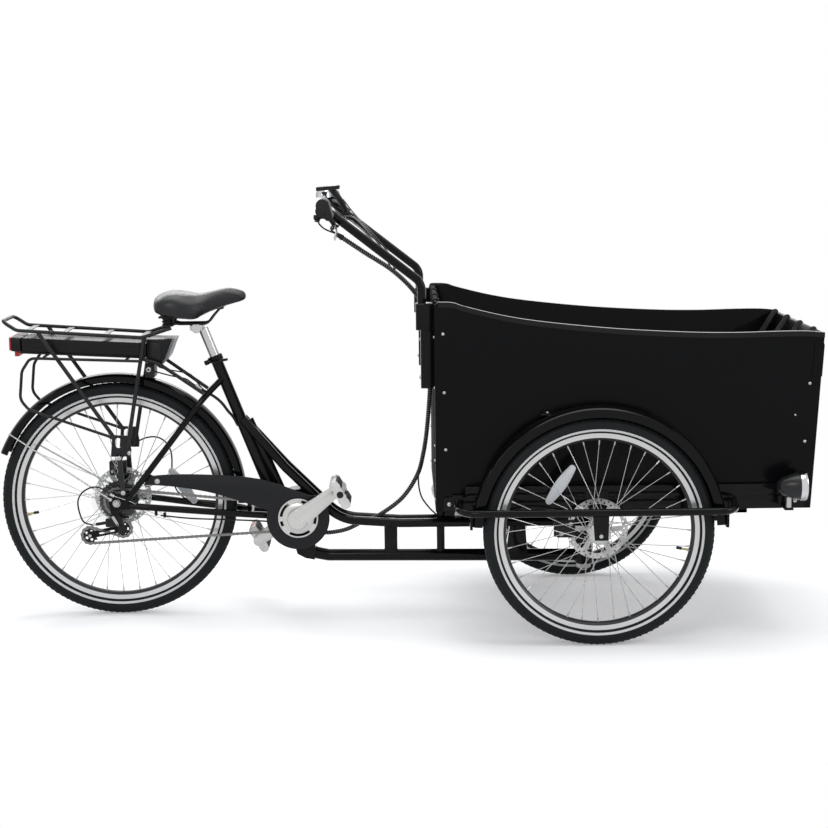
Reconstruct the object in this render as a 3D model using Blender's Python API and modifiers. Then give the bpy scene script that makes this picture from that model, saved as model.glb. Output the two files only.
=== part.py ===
"""Electric cargo tricycle with a box that steers together with its two front wheels.

Metres, +X forward, +Y to the rider's left, +Z up. The origin lies on the ground, under the middle of the
whole machine. The side views of the frame are given as (x, z) points.
"""

from math import acos, asin, atan2, ceil, cos, degrees, pi, radians, sin

import bmesh
import bpy
from mathutils import Matrix, Vector

# Gaps
GAP = 0.0003
RUNNING_GAP = 0.0005

# Overall sizes
WHEELBASE = 1.293
TRACK = 0.750
REAR_AXLE_X = -0.778
REAR_WHEEL_RADIUS = 0.326
FRONT_WHEEL_RADIUS = 0.300

# Wheels
TYRE_WIDTH = 0.045
REAR_RIM_RADIUS = 0.2855
FRONT_RIM_RADIUS = 0.260
RIM_WIDTH = 0.025
BRAKE_TRACK_HEIGHT = 0.0121
RIM_DEPTH = 0.0201
WHEEL_SIDES = 28
SPOKE_COUNT = 36
SPOKE_RADIUS = 0.0010
SPOKE_OFFSET = 0.0011
SPOKE_CROSS_ANGLE = radians(60)
HUB_FLANGE_RADIUS = 0.029
HUB_FLANGE_THICKNESS = 0.0044
HUB_BARREL_RADIUS = 0.0155
HUB_BOSS_RADIUS = 0.0105
AXLE_RADIUS = 0.0058
FRONT_HUB_HALF_LENGTH = 0.0455
FRONT_OUTER_FLANGE = 0.030
FRONT_INNER_FLANGE = 0.0235
ROTOR_RADIUS = 0.080
ROTOR_BAND = 0.014
ROTOR_THICKNESS = 0.0018
FRONT_ROTOR_OFFSET = 0.0354
REAR_ROTOR_Y = 0.0500

# Rear hub, freewheel and dropouts, across the machine
DROPOUT_INNER_Y = 0.0675
DROPOUT_THICKNESS = 0.005
REAR_HUB_LEFT_END = 0.066
REAR_HUB_RIGHT_END = -0.0245
REAR_LEFT_FLANGE = 0.034
REAR_RIGHT_FLANGE = -0.0205
CASSETTE_LEFT_END = -0.0250
CASSETTE_RIGHT_END = -0.0530

# Chain drive
CHAIN_PITCH = 0.0127
CHAIN_HEIGHT = 0.0085
CHAIN_WIDTH = 0.0064
CHAIN_Y = -0.045
SPROCKET_TEETH = 17
COG_TEETH = 18
PULLEY_TEETH = 11
CHAIN_STEP = radians(20)
COG_THICKNESS = 0.0020
COG_SPACING = 0.0080
CASSETTE_CORE = 0.018
PULLEY_BOLT_RADIUS = 0.003
CAGE_HALF_WIDTH = 0.0060
CAGE_WALL = 0.0015
COVER_RADIUS = 0.0555
CHAIN_GUARD_Y = -0.0560
GUARD_THICKNESS = 0.003
GUARD_RADIUS = 0.087

# Crank and pedals
CRANK_X = -0.281
CRANK_Z = 0.275
CRANK_LENGTH = 0.152
CRANK_ANGLE = radians(36.9)
SPINDLE_RADIUS = 0.0085
PEDAL_AXLE_RADIUS = 0.0060
PEDAL_ANGLE = radians(-60)
CRANK_ARM_Y = 0.066
CRANK_ARM_THICKNESS = 0.016
PEDAL_INNER_Y = 0.0925
PEDAL_OUTER_Y = 0.188
PEDAL_LENGTH = 0.080
PEDAL_THICKNESS = 0.028

# Drive unit and the frame ring that holds it
DRIVE_UNIT_RADIUS = 0.070
RING_WALL = 0.006
RING_HALF_WIDTH = 0.030
DRIVE_UNIT_RIGHT = -0.038
DRIVE_UNIT_LEFT = 0.042

# Frame tubes
SEAT_TUBE_WALL = 0.0025
SEATPOST_RADIUS = 0.0135
SEAT_TUBE_TOP = (-0.5023, 0.716)
SEAT_TUBE_LEAN = 0.3858
SEAT_BORE_DEPTH = 0.270
SEATPOST_INSERTION = 0.250
TWIN_TUBE_RADIUS = 0.011
TWIN_TUBE_Y = 0.024
TWIN_TUBE_LEVEL = 0.257
LOWER_TUBE_RADIUS = 0.017
LOWER_TUBE_LEVEL = 0.150
HEAD_TUBE_RADIUS = 0.026
HEAD_TUBE_TOP = 0.275
HEAD_TUBE_BOTTOM = 0.128
KINGPIN_RADIUS = 0.012
CHAINSTAY_RADIUS = 0.0095
SEATSTAY_RADIUS = 0.0085

# Seat, rack and battery
SADDLE_RAIL_RADIUS = 0.0035
RACK_RAIL_Y = 0.075
RACK_LEG_Y = 0.0778
BATTERY_HALF_WIDTH = 0.060

# Cargo box, with places along X from the steering axis
BOX_HALF_WIDTH = 0.312
PANEL_THICKNESS = 0.012
BOX_REAR = -0.420
BOX_BOTTOM = 0.343
BOX_FLOOR_Z = 0.356
BOX_TOP_EDGE = ((-0.410, 0.893), (-0.227, 0.847), (-0.016, 0.819), (0.196, 0.808), (0.372, 0.800), (0.548, 0.807))
BOX_FRONT_TOP = (0.589, 0.804)
BOX_FRONT_BOTTOM = (0.562, 0.346)
BENCH_HEIGHT = 0.545
BENCH_DEPTH = 0.235

# Steering chassis, with places along X from the steering axis
RAIL_PROUD = 0.010
RAIL_LOW = 0.382
RAIL_HIGH = 0.410
SKIRT_PROUD = 0.005
CROSS_PLATE_LOW = 0.333
GLIDE_RADIUS = 0.401
GLIDE_BAND = 0.050
GUARD_BAR_RADIUS = 0.010
GUARD_BAR_LEVEL = 0.360
GUARD_BAR_OFFSET = 0.050
GUARD_BAR_REAR = -0.363
GUARD_BAR_FRONT = 0.359
AXLE_PLATE_THICKNESS = 0.006
LAMP_BRACKET_TOP = 0.3547

# Handlebars, with places along X from the steering axis
BAR_RADIUS = 0.0115
BAR_INSET = 0.072
BAR_END_Y = 0.424
GRIP_INNER_Y = 0.302
GRIP_OUTER_Y = 0.430
GRIP_RADIUS = 0.0155
SOCKET_BOTTOM = 0.815
SOCKET_TOP = 0.886
BAR_FOOT_Z = 0.8225
BAR_BEND_Z = 0.938
CABLE_BUNDLE_RADIUS = 0.0065

# Fenders
REAR_FENDER_RADIUS = 0.3535
FRONT_FENDER_RADIUS = 0.331
FENDER_SIDE_CLEARANCE = 0.0055
FENDER_WALL = 0.002

STEER_X = REAR_AXLE_X + WHEELBASE
REAR_AXLE = Vector((REAR_AXLE_X, 0, REAR_WHEEL_RADIUS))
CRANK = Vector((CRANK_X, 0, CRANK_Z))
REAR_AXLE_DRAWN = (-0.780, 0.326)
AXLE_BORE = AXLE_RADIUS + RUNNING_GAP
BOTTOM_BORE = SPINDLE_RADIUS + RUNNING_GAP
BAR_BORE = (BAR_RADIUS + GAP) / cos(pi / 12)
HEAD_BORE = (KINGPIN_RADIUS + GAP) / cos(pi / 12)
SEAT_TUBE_RADIUS = SEATPOST_RADIUS + SEAT_TUBE_WALL
FENDER_HALF_WIDTH = TYRE_WIDTH / 2 + FENDER_SIDE_CLEARANCE
BAR_Y = BOX_HALF_WIDTH - BAR_INSET
RIGHT, LEFT = -1, 1
SIDE_NAMES = {RIGHT: "right", LEFT: "left"}
SEAT_AXIS = Vector((-SEAT_TUBE_LEAN, 0, 1)).normalized()
SEAT_FORWARD = Vector((SEAT_AXIS.z, 0, -SEAT_AXIS.x))
PANEL_INNER = BOX_HALF_WIDTH - PANEL_THICKNESS
RAIL_OUTER = BOX_HALF_WIDTH + RAIL_PROUD
CROSS_PLATE_HIGH = BOX_BOTTOM - 2 * GAP
PLATE_PLANES = {
    "XZ": Matrix(((1, 0, 0, 0), (0, 0, -1, 0), (0, 1, 0, 0), (0, 0, 0, 1))),
    "XY": Matrix.Identity(4),
    "YZ": Matrix(((0, 0, 1, 0), (1, 0, 0, 0), (0, 1, 0, 0), (0, 0, 0, 1))),
}
PLATE_NORMALS = {"XZ": Vector((0, 1, 0)), "XY": Vector((0, 0, 1)), "YZ": Vector((1, 0, 0))}


def clear_scene():
    for obj in list(bpy.data.objects):
        bpy.data.objects.remove(obj, do_unlink=True)


clear_scene()
machine = bpy.data.collections.new("electric_cargo_trike")
workshop = bpy.data.collections.new("cutters")
for group in (machine, workshop):
    bpy.context.scene.collection.children.link(group)
workshop.hide_render = True


# Materials

def painted(name, colour, roughness, metallic=0.0):
    material = bpy.data.materials.new(name)
    material.use_nodes = True
    shader = material.node_tree.nodes["Principled BSDF"]
    shader.inputs["Base Color"].default_value = (*colour, 1)
    shader.inputs["Roughness"].default_value = roughness
    shader.inputs["Metallic"].default_value = metallic
    return material


FRAME_BLACK = painted("frame_black", (0.018, 0.019, 0.021), 0.42, 0.2)
GUARD_BLACK = painted("guard_black", (0.022, 0.023, 0.026), 0.5)
BOX_BLACK = painted("box_black", (0.012, 0.012, 0.014), 0.18)
FENDER_BLACK = painted("fender_black", (0.012, 0.012, 0.013), 0.2)
PLASTIC_BLACK = painted("plastic_black", (0.03, 0.03, 0.032), 0.5)
TYRE_RUBBER = painted("tyre_rubber", (0.022, 0.023, 0.024), 0.75)
GRIP_RUBBER = painted("grip_rubber", (0.02, 0.02, 0.02), 0.7)
SADDLE_COVER = painted("saddle_cover", (0.05, 0.05, 0.055), 0.6)
RIM_ALLOY = painted("rim_alloy", (0.72, 0.73, 0.74), 0.3, 1.0)
HUB_ALLOY = painted("hub_alloy", (0.7, 0.7, 0.72), 0.32, 1.0)
CRANK_ALLOY = painted("crank_alloy", (0.82, 0.82, 0.8), 0.3, 0.9)
POST_ALLOY = painted("post_alloy", (0.78, 0.78, 0.79), 0.28, 1.0)
DISC_STEEL = painted("disc_steel", (0.66, 0.67, 0.69), 0.28, 1.0)
CHAIN_STEEL = painted("chain_steel", (0.4, 0.39, 0.37), 0.4, 1.0)
COG_STEEL = painted("cog_steel", (0.06, 0.06, 0.065), 0.4, 0.9)
CHROME = painted("chrome", (0.85, 0.86, 0.88), 0.08, 1.0)
BENCH_WOOD = painted("bench_wood", (0.03, 0.028, 0.026), 0.55)


# Shapes

def blank(mesh):
    obj = bpy.data.objects.new("blank", mesh)
    obj.hide_render = True
    obj.display_type = "WIRE"
    workshop.objects.link(obj)
    return obj


def closed_up(bm):
    """Welds loose caps, caps open ends and turns the faces outwards."""
    bmesh.ops.remove_doubles(bm, verts=bm.verts, dist=0.00001)
    rims = [edge for edge in bm.edges if edge.is_boundary]
    if rims:
        bmesh.ops.holes_fill(bm, edges=rims)
    bmesh.ops.recalc_face_normals(bm, faces=bm.faces)


def baked(obj):
    """The evaluated object as a new closed blank. The object itself is removed."""
    if obj.name not in workshop.objects:
        workshop.objects.link(obj)
    graph = bpy.context.evaluated_depsgraph_get()
    mesh = bpy.data.meshes.new_from_object(obj.evaluated_get(graph))
    mesh.transform(obj.matrix_world)
    bpy.data.objects.remove(obj)
    bm = bmesh.new()
    bm.from_mesh(mesh)
    closed_up(bm)
    bm.to_mesh(mesh)
    bm.free()
    return blank(mesh)


def from_bmesh(bm):
    mesh = bpy.data.meshes.new("shape")
    bm.to_mesh(mesh)
    bm.free()
    return blank(mesh)


def block(low, high):
    low, high = Vector(low), Vector(high)
    size = high - low
    bm = bmesh.new()
    bmesh.ops.create_cube(bm, size=1)
    bmesh.ops.transform(bm, matrix=Matrix.Diagonal((*size, 1)), verts=bm.verts)
    bmesh.ops.translate(bm, vec=(low + high) / 2, verts=bm.verts)
    return from_bmesh(bm)


def rod(start, end, radius, sides=12, end_radius=None):
    """A round bar, or a cone if its end has another radius."""
    start, end = Vector(start), Vector(end)
    along = end - start
    bm = bmesh.new()
    bmesh.ops.create_cone(
        bm, cap_ends=True, segments=sides, radius1=radius, radius2=end_radius or radius, depth=along.length
    )
    turn = Vector((0, 0, 1)).rotation_difference(along).to_matrix().to_4x4()
    bmesh.ops.transform(bm, matrix=Matrix.Translation((start + end) / 2) @ turn, verts=bm.verts)
    return from_bmesh(bm)


def tube(points, radius, sides=8, closed=False):
    curve = bpy.data.curves.new("route", "CURVE")
    curve.dimensions = "3D"
    curve.bevel_depth = radius
    curve.bevel_resolution = (sides - 4) // 2
    curve.use_fill_caps = not closed
    spline = curve.splines.new("POLY")
    spline.points.add(len(points) - 1)
    for knot, point in zip(spline.points, points):
        knot.co = (*point, 1)
    spline.use_cyclic_u = closed
    return baked(bpy.data.objects.new("route", curve))


def bent(corners, bend_radius, steps=3):
    """The corner points of a tube, with an arc of the given radius at each inner one."""
    corners = [Vector(corner) for corner in corners]
    path = [corners[0]]
    for before, corner, after in zip(corners, corners[1:], corners[2:]):
        back, on = (before - corner).normalized(), (after - corner).normalized()
        half_angle = back.angle(on) / 2
        if half_angle > radians(89):
            continue
        reach = bend_radius / sin(half_angle) * cos(half_angle)
        reach = min(reach, 0.45 * (before - corner).length, 0.45 * (after - corner).length)
        radius = reach * sin(half_angle) / cos(half_angle)
        centre = corner + (back + on).normalized() * (radius / sin(half_angle))
        first, last = corner + back * reach - centre, corner + on * reach - centre
        for step in range(steps + 1):
            path.append(centre + first.slerp(last, step / steps) * first.length)
    return path + [corners[-1]]


def smooth(points, steps):
    """A smooth curve through the points."""
    points = [Vector(point) for point in points]
    padded = [2 * points[0] - points[1], *points, 2 * points[-1] - points[-2]]
    path = []
    for a, b, c, d in zip(padded, padded[1:], padded[2:], padded[3:]):
        for step in range(steps):
            t = step / steps
            path.append(0.5 * (2 * b + (c - a) * t + (2 * a - 5 * b + 4 * c - d) * t**2
                               + (3 * b - a - 3 * c + d) * t**3))
    return path + [points[-1]]


def turned(profile, axis, centre=(0, 0, 0), sides=24, start=0.0, sweep=2 * pi, ring=True):
    """A turned piece from (radius, place along the axis) points, closed into a ring or open to the axis."""
    mesh = bpy.data.meshes.new("profile")
    edges = [(i, i + 1) for i in range(len(profile) - 1)]
    if ring:
        edges.append((len(profile) - 1, 0))
    mesh.from_pydata([(radius, 0, along) for radius, along in profile], edges, [])
    obj = bpy.data.objects.new("profile", mesh)
    workshop.objects.link(obj)
    screw = obj.modifiers.new("turn", "SCREW")
    screw.angle = sweep
    screw.steps = screw.render_steps = sides
    screw.use_merge_vertices = True
    screw.merge_threshold = 0.00001
    turn = Vector((0, 0, 1)).rotation_difference(Vector(axis)).to_matrix().to_4x4()
    shape = baked(obj)
    shape.data.transform(Matrix.Translation(centre) @ turn @ Matrix.Rotation(start, 4, "Z"))
    return shape


def plate(outline, low, high, plane="XZ", holes=()):
    """A flat piece between two depths across its plane."""
    curve = bpy.data.curves.new("outline", "CURVE")
    curve.dimensions = "2D"
    curve.fill_mode = "BOTH"
    curve.extrude = (high - low) / 2
    for loop in (outline, *holes):
        spline = curve.splines.new("POLY")
        spline.points.add(len(loop) - 1)
        for knot, (u, v) in zip(spline.points, loop):
            knot.co = (u, v, 0, 1)
        spline.use_cyclic_u = True
    shape = baked(bpy.data.objects.new("outline", curve))
    lift = PLATE_NORMALS[plane] * (low + high) / 2
    shape.data.transform(Matrix.Translation(lift) @ PLATE_PLANES[plane])
    return shape


def arc(centre, radius, start_deg, end_deg, steps):
    angles = [radians(start_deg + (end_deg - start_deg) * step / steps) for step in range(steps + 1)]
    return [(centre[0] + radius * cos(angle), centre[1] + radius * sin(angle)) for angle in angles]


def circle(centre, radius, sides):
    return arc(centre, radius, 0, 360 * (sides - 1) / sides, sides - 1)


def combined(base, others, operation):
    if not others:
        return base
    group = bpy.data.collections.new("operands")
    workshop.children.link(group)
    for other in others:
        workshop.objects.unlink(other)
        group.objects.link(other)
    modifier = base.modifiers.new(operation.lower(), "BOOLEAN")
    modifier.operation = operation
    modifier.operand_type = "COLLECTION"
    modifier.collection = group
    modifier.solver = "EXACT"
    result = baked(base)
    for other in others:
        bpy.data.objects.remove(other)
    bpy.data.collections.remove(group)
    return result


def fused(shapes, cuts=()):
    """The shapes welded into one, less the cuts."""
    return combined(combined(shapes[0], shapes[1:], "UNION"), list(cuts), "DIFFERENCE")


def joined(shapes):
    """Shapes that don't touch each other, as one mesh."""
    bm = bmesh.new()
    for shape in shapes:
        bm.from_mesh(shape.data)
        bpy.data.objects.remove(shape)
    return from_bmesh(bm)


def rounded(shape, width, segments=2, angle=30):
    bevel = shape.modifiers.new("rounding", "BEVEL")
    bevel.width = width
    bevel.segments = segments
    bevel.limit_method = "ANGLE"
    bevel.angle_limit = radians(angle)
    return baked(shape)


def mirrored_y(shape):
    bm = bmesh.new()
    bm.from_mesh(shape.data)
    bmesh.ops.scale(bm, vec=(1, -1, 1), verts=bm.verts)
    bmesh.ops.reverse_faces(bm, faces=bm.faces)
    bm.to_mesh(shape.data)
    bm.free()
    return shape


def for_side(shape, side):
    """A shape drawn for the left side, put on the side asked for."""
    return shape if side == LEFT else mirrored_y(shape)


# Bodies: an empty on each joint's axis carries the pieces that move with it

PIVOTS = {}


def body(name, pivot, parent=None):
    empty = bpy.data.objects.new(name + "_axis", None)
    empty.empty_display_size = 0.05
    machine.objects.link(empty)
    PIVOTS[name] = (empty, Vector(pivot))
    if parent:
        empty.parent = PIVOTS[parent][0]
        empty.location = Vector(pivot) - PIVOTS[parent][1]
    else:
        empty.location = pivot


def piece(name, shape, material, body_name=None, smooth_angle=38):
    """Names a finished shape as a piece of the machine and hangs it on its body."""
    mesh = shape.data
    bpy.data.objects.remove(shape)
    mesh.name = name
    mesh.materials.clear()
    mesh.materials.append(material)
    mesh.shade_smooth()
    mesh.set_sharp_from_angle(angle=radians(smooth_angle))
    obj = bpy.data.objects.new(name, mesh)
    machine.objects.link(obj)
    if body_name:
        empty, pivot = PIVOTS[body_name]
        mesh.transform(Matrix.Translation(-pivot))
        obj.parent = empty
    return obj


# Places that several pieces share

def seat_point(from_top, forward=0.0, y=0.0):
    """A point on the seat tube's axis, or in front of it."""
    top = Vector((SEAT_TUBE_TOP[0], y, SEAT_TUBE_TOP[1]))
    return top - SEAT_AXIS * from_top + SEAT_FORWARD * forward


def at(x, z, y=0.0):
    """A point whose x counts from the steering axis."""
    return Vector((STEER_X + x, y, z))


def near_axle(x, z, y=0.0):
    """A point counted from the rear axle."""
    return Vector((REAR_AXLE_X + x, y, REAR_WHEEL_RADIUS + z))


def near_crank(x, z, y=0.0):
    """A point counted from the crank's axis."""
    return Vector((CRANK_X + x, y, CRANK_Z + z))


def on_saddle(x, z, y=0.0):
    """A point counted from under the saddle, at the height of the seat tube's top."""
    return Vector((SADDLE_X + x, y, SEAT_TUBE_TOP[1] + z))


def flat(point):
    return (point[0], point[2])


def pitch_radius(teeth):
    return CHAIN_PITCH / (2 * sin(pi / teeth))


def pedal_centre(side):
    reach = CRANK_LENGTH if side == RIGHT else -CRANK_LENGTH
    return near_crank(reach * cos(CRANK_ANGLE), reach * sin(CRANK_ANGLE))


GUIDE_PULLEY = near_axle(0.012, -0.0765)
TENSION_PULLEY = near_axle(-0.080, -0.0945)
SADDLE_X = seat_point(0)[0] - 0.0617
HEADLIGHT = at(0.4936, 0.411, -BOX_HALF_WIDTH - 0.050)
SHIFTER = at(-0.718, 1.104, -0.285)
BAR_CORNER = (-0.701, 1.133)
BAR_FOOT_X = -0.4513
LEVER_AXIS = Vector((0.90, 0, 0.44)).normalized()


def lever_pivot(side):
    return at(-0.672, 1.086, side * 0.279)


def make_bodies():
    body("wheel_rear", REAR_AXLE)
    body("cassette", REAR_AXLE)
    body("crank", CRANK)
    body("sprocket", CRANK)
    for side in (RIGHT, LEFT):
        body("pedal_" + SIDE_NAMES[side], pedal_centre(side), "crank")
    body("derailleur_cage", GUIDE_PULLEY)
    body("guide_pulley", GUIDE_PULLEY, "derailleur_cage")
    body("tension_pulley", TENSION_PULLEY, "derailleur_cage")
    body("seatpost", seat_point(0))
    body("seat_lever", seat_point(0.012, -0.0245, -0.0205))
    body("battery", near_axle(-0.088, 0.431))
    body("steering", (STEER_X, 0, 0))
    for side in (RIGHT, LEFT):
        name = SIDE_NAMES[side]
        body("wheel_front_" + name, (STEER_X, side * TRACK / 2, FRONT_WHEEL_RADIUS), "steering")
        body("brake_lever_" + name, lever_pivot(side), "steering")
    body("shift_lever", SHIFTER, "steering")
    body("headlight", HEADLIGHT, "steering")


# Wheels

def wheel_turned(profile, centre):
    """Turned about the axle with flats as far out as the profile says, one of them underneath."""
    swell = 1 / cos(pi / WHEEL_SIDES)
    return turned([(r * swell, y) for r, y in profile], (0, 1, 0), centre, WHEEL_SIDES, pi / WHEEL_SIDES)


def tyre(radius, rim_radius, centre):
    half = TYRE_WIDTH / 2
    side = [
        (rim_radius + GAP, RIM_WIDTH / 2),
        (radius - 0.0130, half),
        (radius, 0.38 * half),
    ]
    return wheel_turned(side + [(r, -y) for r, y in reversed(side)], centre)


def rim(rim_radius, centre):
    half = RIM_WIDTH / 2
    profile = [
        (rim_radius, half),
        (rim_radius - BRAKE_TRACK_HEIGHT, half),
        (rim_radius - RIM_DEPTH, 0.4 * half),
        (rim_radius - RIM_DEPTH, -0.4 * half),
        (rim_radius - BRAKE_TRACK_HEIGHT, -half),
        (rim_radius, -half),
    ]
    return wheel_turned(profile, centre)


def spokes(rim_radius, left_flange, right_flange, centre):
    """Crossed spokes from both flanges to just inside the rim."""
    reach = rim_radius - RIM_DEPTH - GAP
    foot = HUB_FLANGE_RADIUS - 0.003
    made = []
    for index in range(SPOKE_COUNT):
        flange, toward = (left_flange, 1) if index % 2 else (right_flange, -1)
        lean = 1 if index % 4 < 2 else -1
        rim_angle = 2 * pi * index / SPOKE_COUNT
        hub_angle = rim_angle + lean * SPOKE_CROSS_ANGLE
        start = Vector((foot * cos(hub_angle), flange + lean * SPOKE_OFFSET, foot * sin(hub_angle)))
        end = Vector((reach * cos(rim_angle), toward * 0.003 + lean * SPOKE_OFFSET, reach * sin(rim_angle)))
        made.append(rod(start + centre, end + centre, SPOKE_RADIUS, 3))
    return joined(made)


def hub_profile(left_end, right_end, left_flange, right_flange, barrel):
    half = HUB_FLANGE_THICKNESS / 2
    return [
        (AXLE_BORE, right_end),
        (AXLE_BORE, left_end),
        (HUB_BOSS_RADIUS, left_end),
        (HUB_BOSS_RADIUS, left_flange + half),
        (HUB_FLANGE_RADIUS, left_flange + half),
        (HUB_FLANGE_RADIUS, left_flange - half),
        (barrel, left_flange - half),
        (barrel, right_flange + half),
        (HUB_FLANGE_RADIUS, right_flange + half),
        (HUB_FLANGE_RADIUS, right_flange - half),
        (HUB_BOSS_RADIUS, right_flange - half),
        (HUB_BOSS_RADIUS, right_end),
    ]


def rotor(centre):
    """A brake disc: a friction band, six arms and the ring on the hub's boss."""
    inner = ROTOR_RADIUS - ROTOR_BAND
    middle = flat(centre)
    windows = []
    for arm in range(6):
        start = 60 * arm + 7
        outer_edge = arc(middle, inner, start, start + 46, 1)
        inner_edge = arc(middle, 0.022, start + 30, start + 4, 1)
        windows.append(outer_edge + inner_edge)
    bore = circle(middle, HUB_BOSS_RADIUS + RUNNING_GAP, 12)
    low = centre[1] - ROTOR_THICKNESS / 2
    return plate(circle(middle, ROTOR_RADIUS, 20), low, low + ROTOR_THICKNESS, "XZ", [bore, *windows])


def make_rear_wheel():
    name = "wheel_rear"
    piece("tyre_rear", tyre(REAR_WHEEL_RADIUS, REAR_RIM_RADIUS, REAR_AXLE), TYRE_RUBBER, name)
    piece("rim_rear", rim(REAR_RIM_RADIUS, REAR_AXLE), RIM_ALLOY, name)
    profile = hub_profile(REAR_HUB_LEFT_END, REAR_HUB_RIGHT_END, REAR_LEFT_FLANGE, REAR_RIGHT_FLANGE, 0.018)
    hub = turned(profile, (0, 1, 0), REAR_AXLE, 12)
    fan = spokes(REAR_RIM_RADIUS, REAR_LEFT_FLANGE, REAR_RIGHT_FLANGE, REAR_AXLE)
    piece("hub_rear", fused([hub, fan]), HUB_ALLOY, name)
    piece("rotor_rear", rotor(REAR_AXLE + Vector((0, REAR_ROTOR_Y, 0))), DISC_STEEL, name)


def make_front_wheel(side):
    name = "wheel_front_" + SIDE_NAMES[side]
    centre = Vector((STEER_X, TRACK / 2, FRONT_WHEEL_RADIUS))
    rubber = tyre(FRONT_WHEEL_RADIUS, FRONT_RIM_RADIUS, centre)
    hoop = rim(FRONT_RIM_RADIUS, centre)
    half = FRONT_HUB_HALF_LENGTH
    profile = hub_profile(half, -half, FRONT_OUTER_FLANGE, -FRONT_INNER_FLANGE, HUB_BARREL_RADIUS)
    hub = turned(profile, (0, 1, 0), centre, 12)
    fan = spokes(FRONT_RIM_RADIUS, FRONT_OUTER_FLANGE, -FRONT_INNER_FLANGE, centre)
    disc = rotor(centre - Vector((0, FRONT_ROTOR_OFFSET, 0)))
    suffix = "_front_" + SIDE_NAMES[side]
    piece("tyre" + suffix, for_side(rubber, side), TYRE_RUBBER, name)
    piece("rim" + suffix, for_side(hoop, side), RIM_ALLOY, name)
    piece("hub" + suffix, for_side(fused([hub, fan]), side), HUB_ALLOY, name)
    piece("rotor" + suffix, for_side(disc, side), DISC_STEEL, name)


# Frame

def frame_ring():
    outer = DRIVE_UNIT_RADIUS + RUNNING_GAP + RING_WALL
    inner = DRIVE_UNIT_RADIUS + RUNNING_GAP
    half = RING_HALF_WIDTH
    profile = [(inner, -half), (inner, half), (outer, half), (outer, -half)]
    return turned(profile, (0, 1, 0), CRANK, 24)


def dropout(side):
    inner, outer = DROPOUT_INNER_Y, DROPOUT_INNER_Y + DROPOUT_THICKNESS
    outline = [
        (-0.020, -0.010), (-0.012, -0.016), (0.010, -0.018), (0.046, -0.018),
        (0.050, 0.000), (0.034, 0.022), (0.014, 0.034), (-0.012, 0.032), (-0.022, 0.012),
    ]
    if side == RIGHT:
        outline[1:2] = [(-0.016, -0.036), (0.000, -0.036)]
    return for_side(plate([flat(near_axle(*point)) for point in outline], inner, outer), side)


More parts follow.
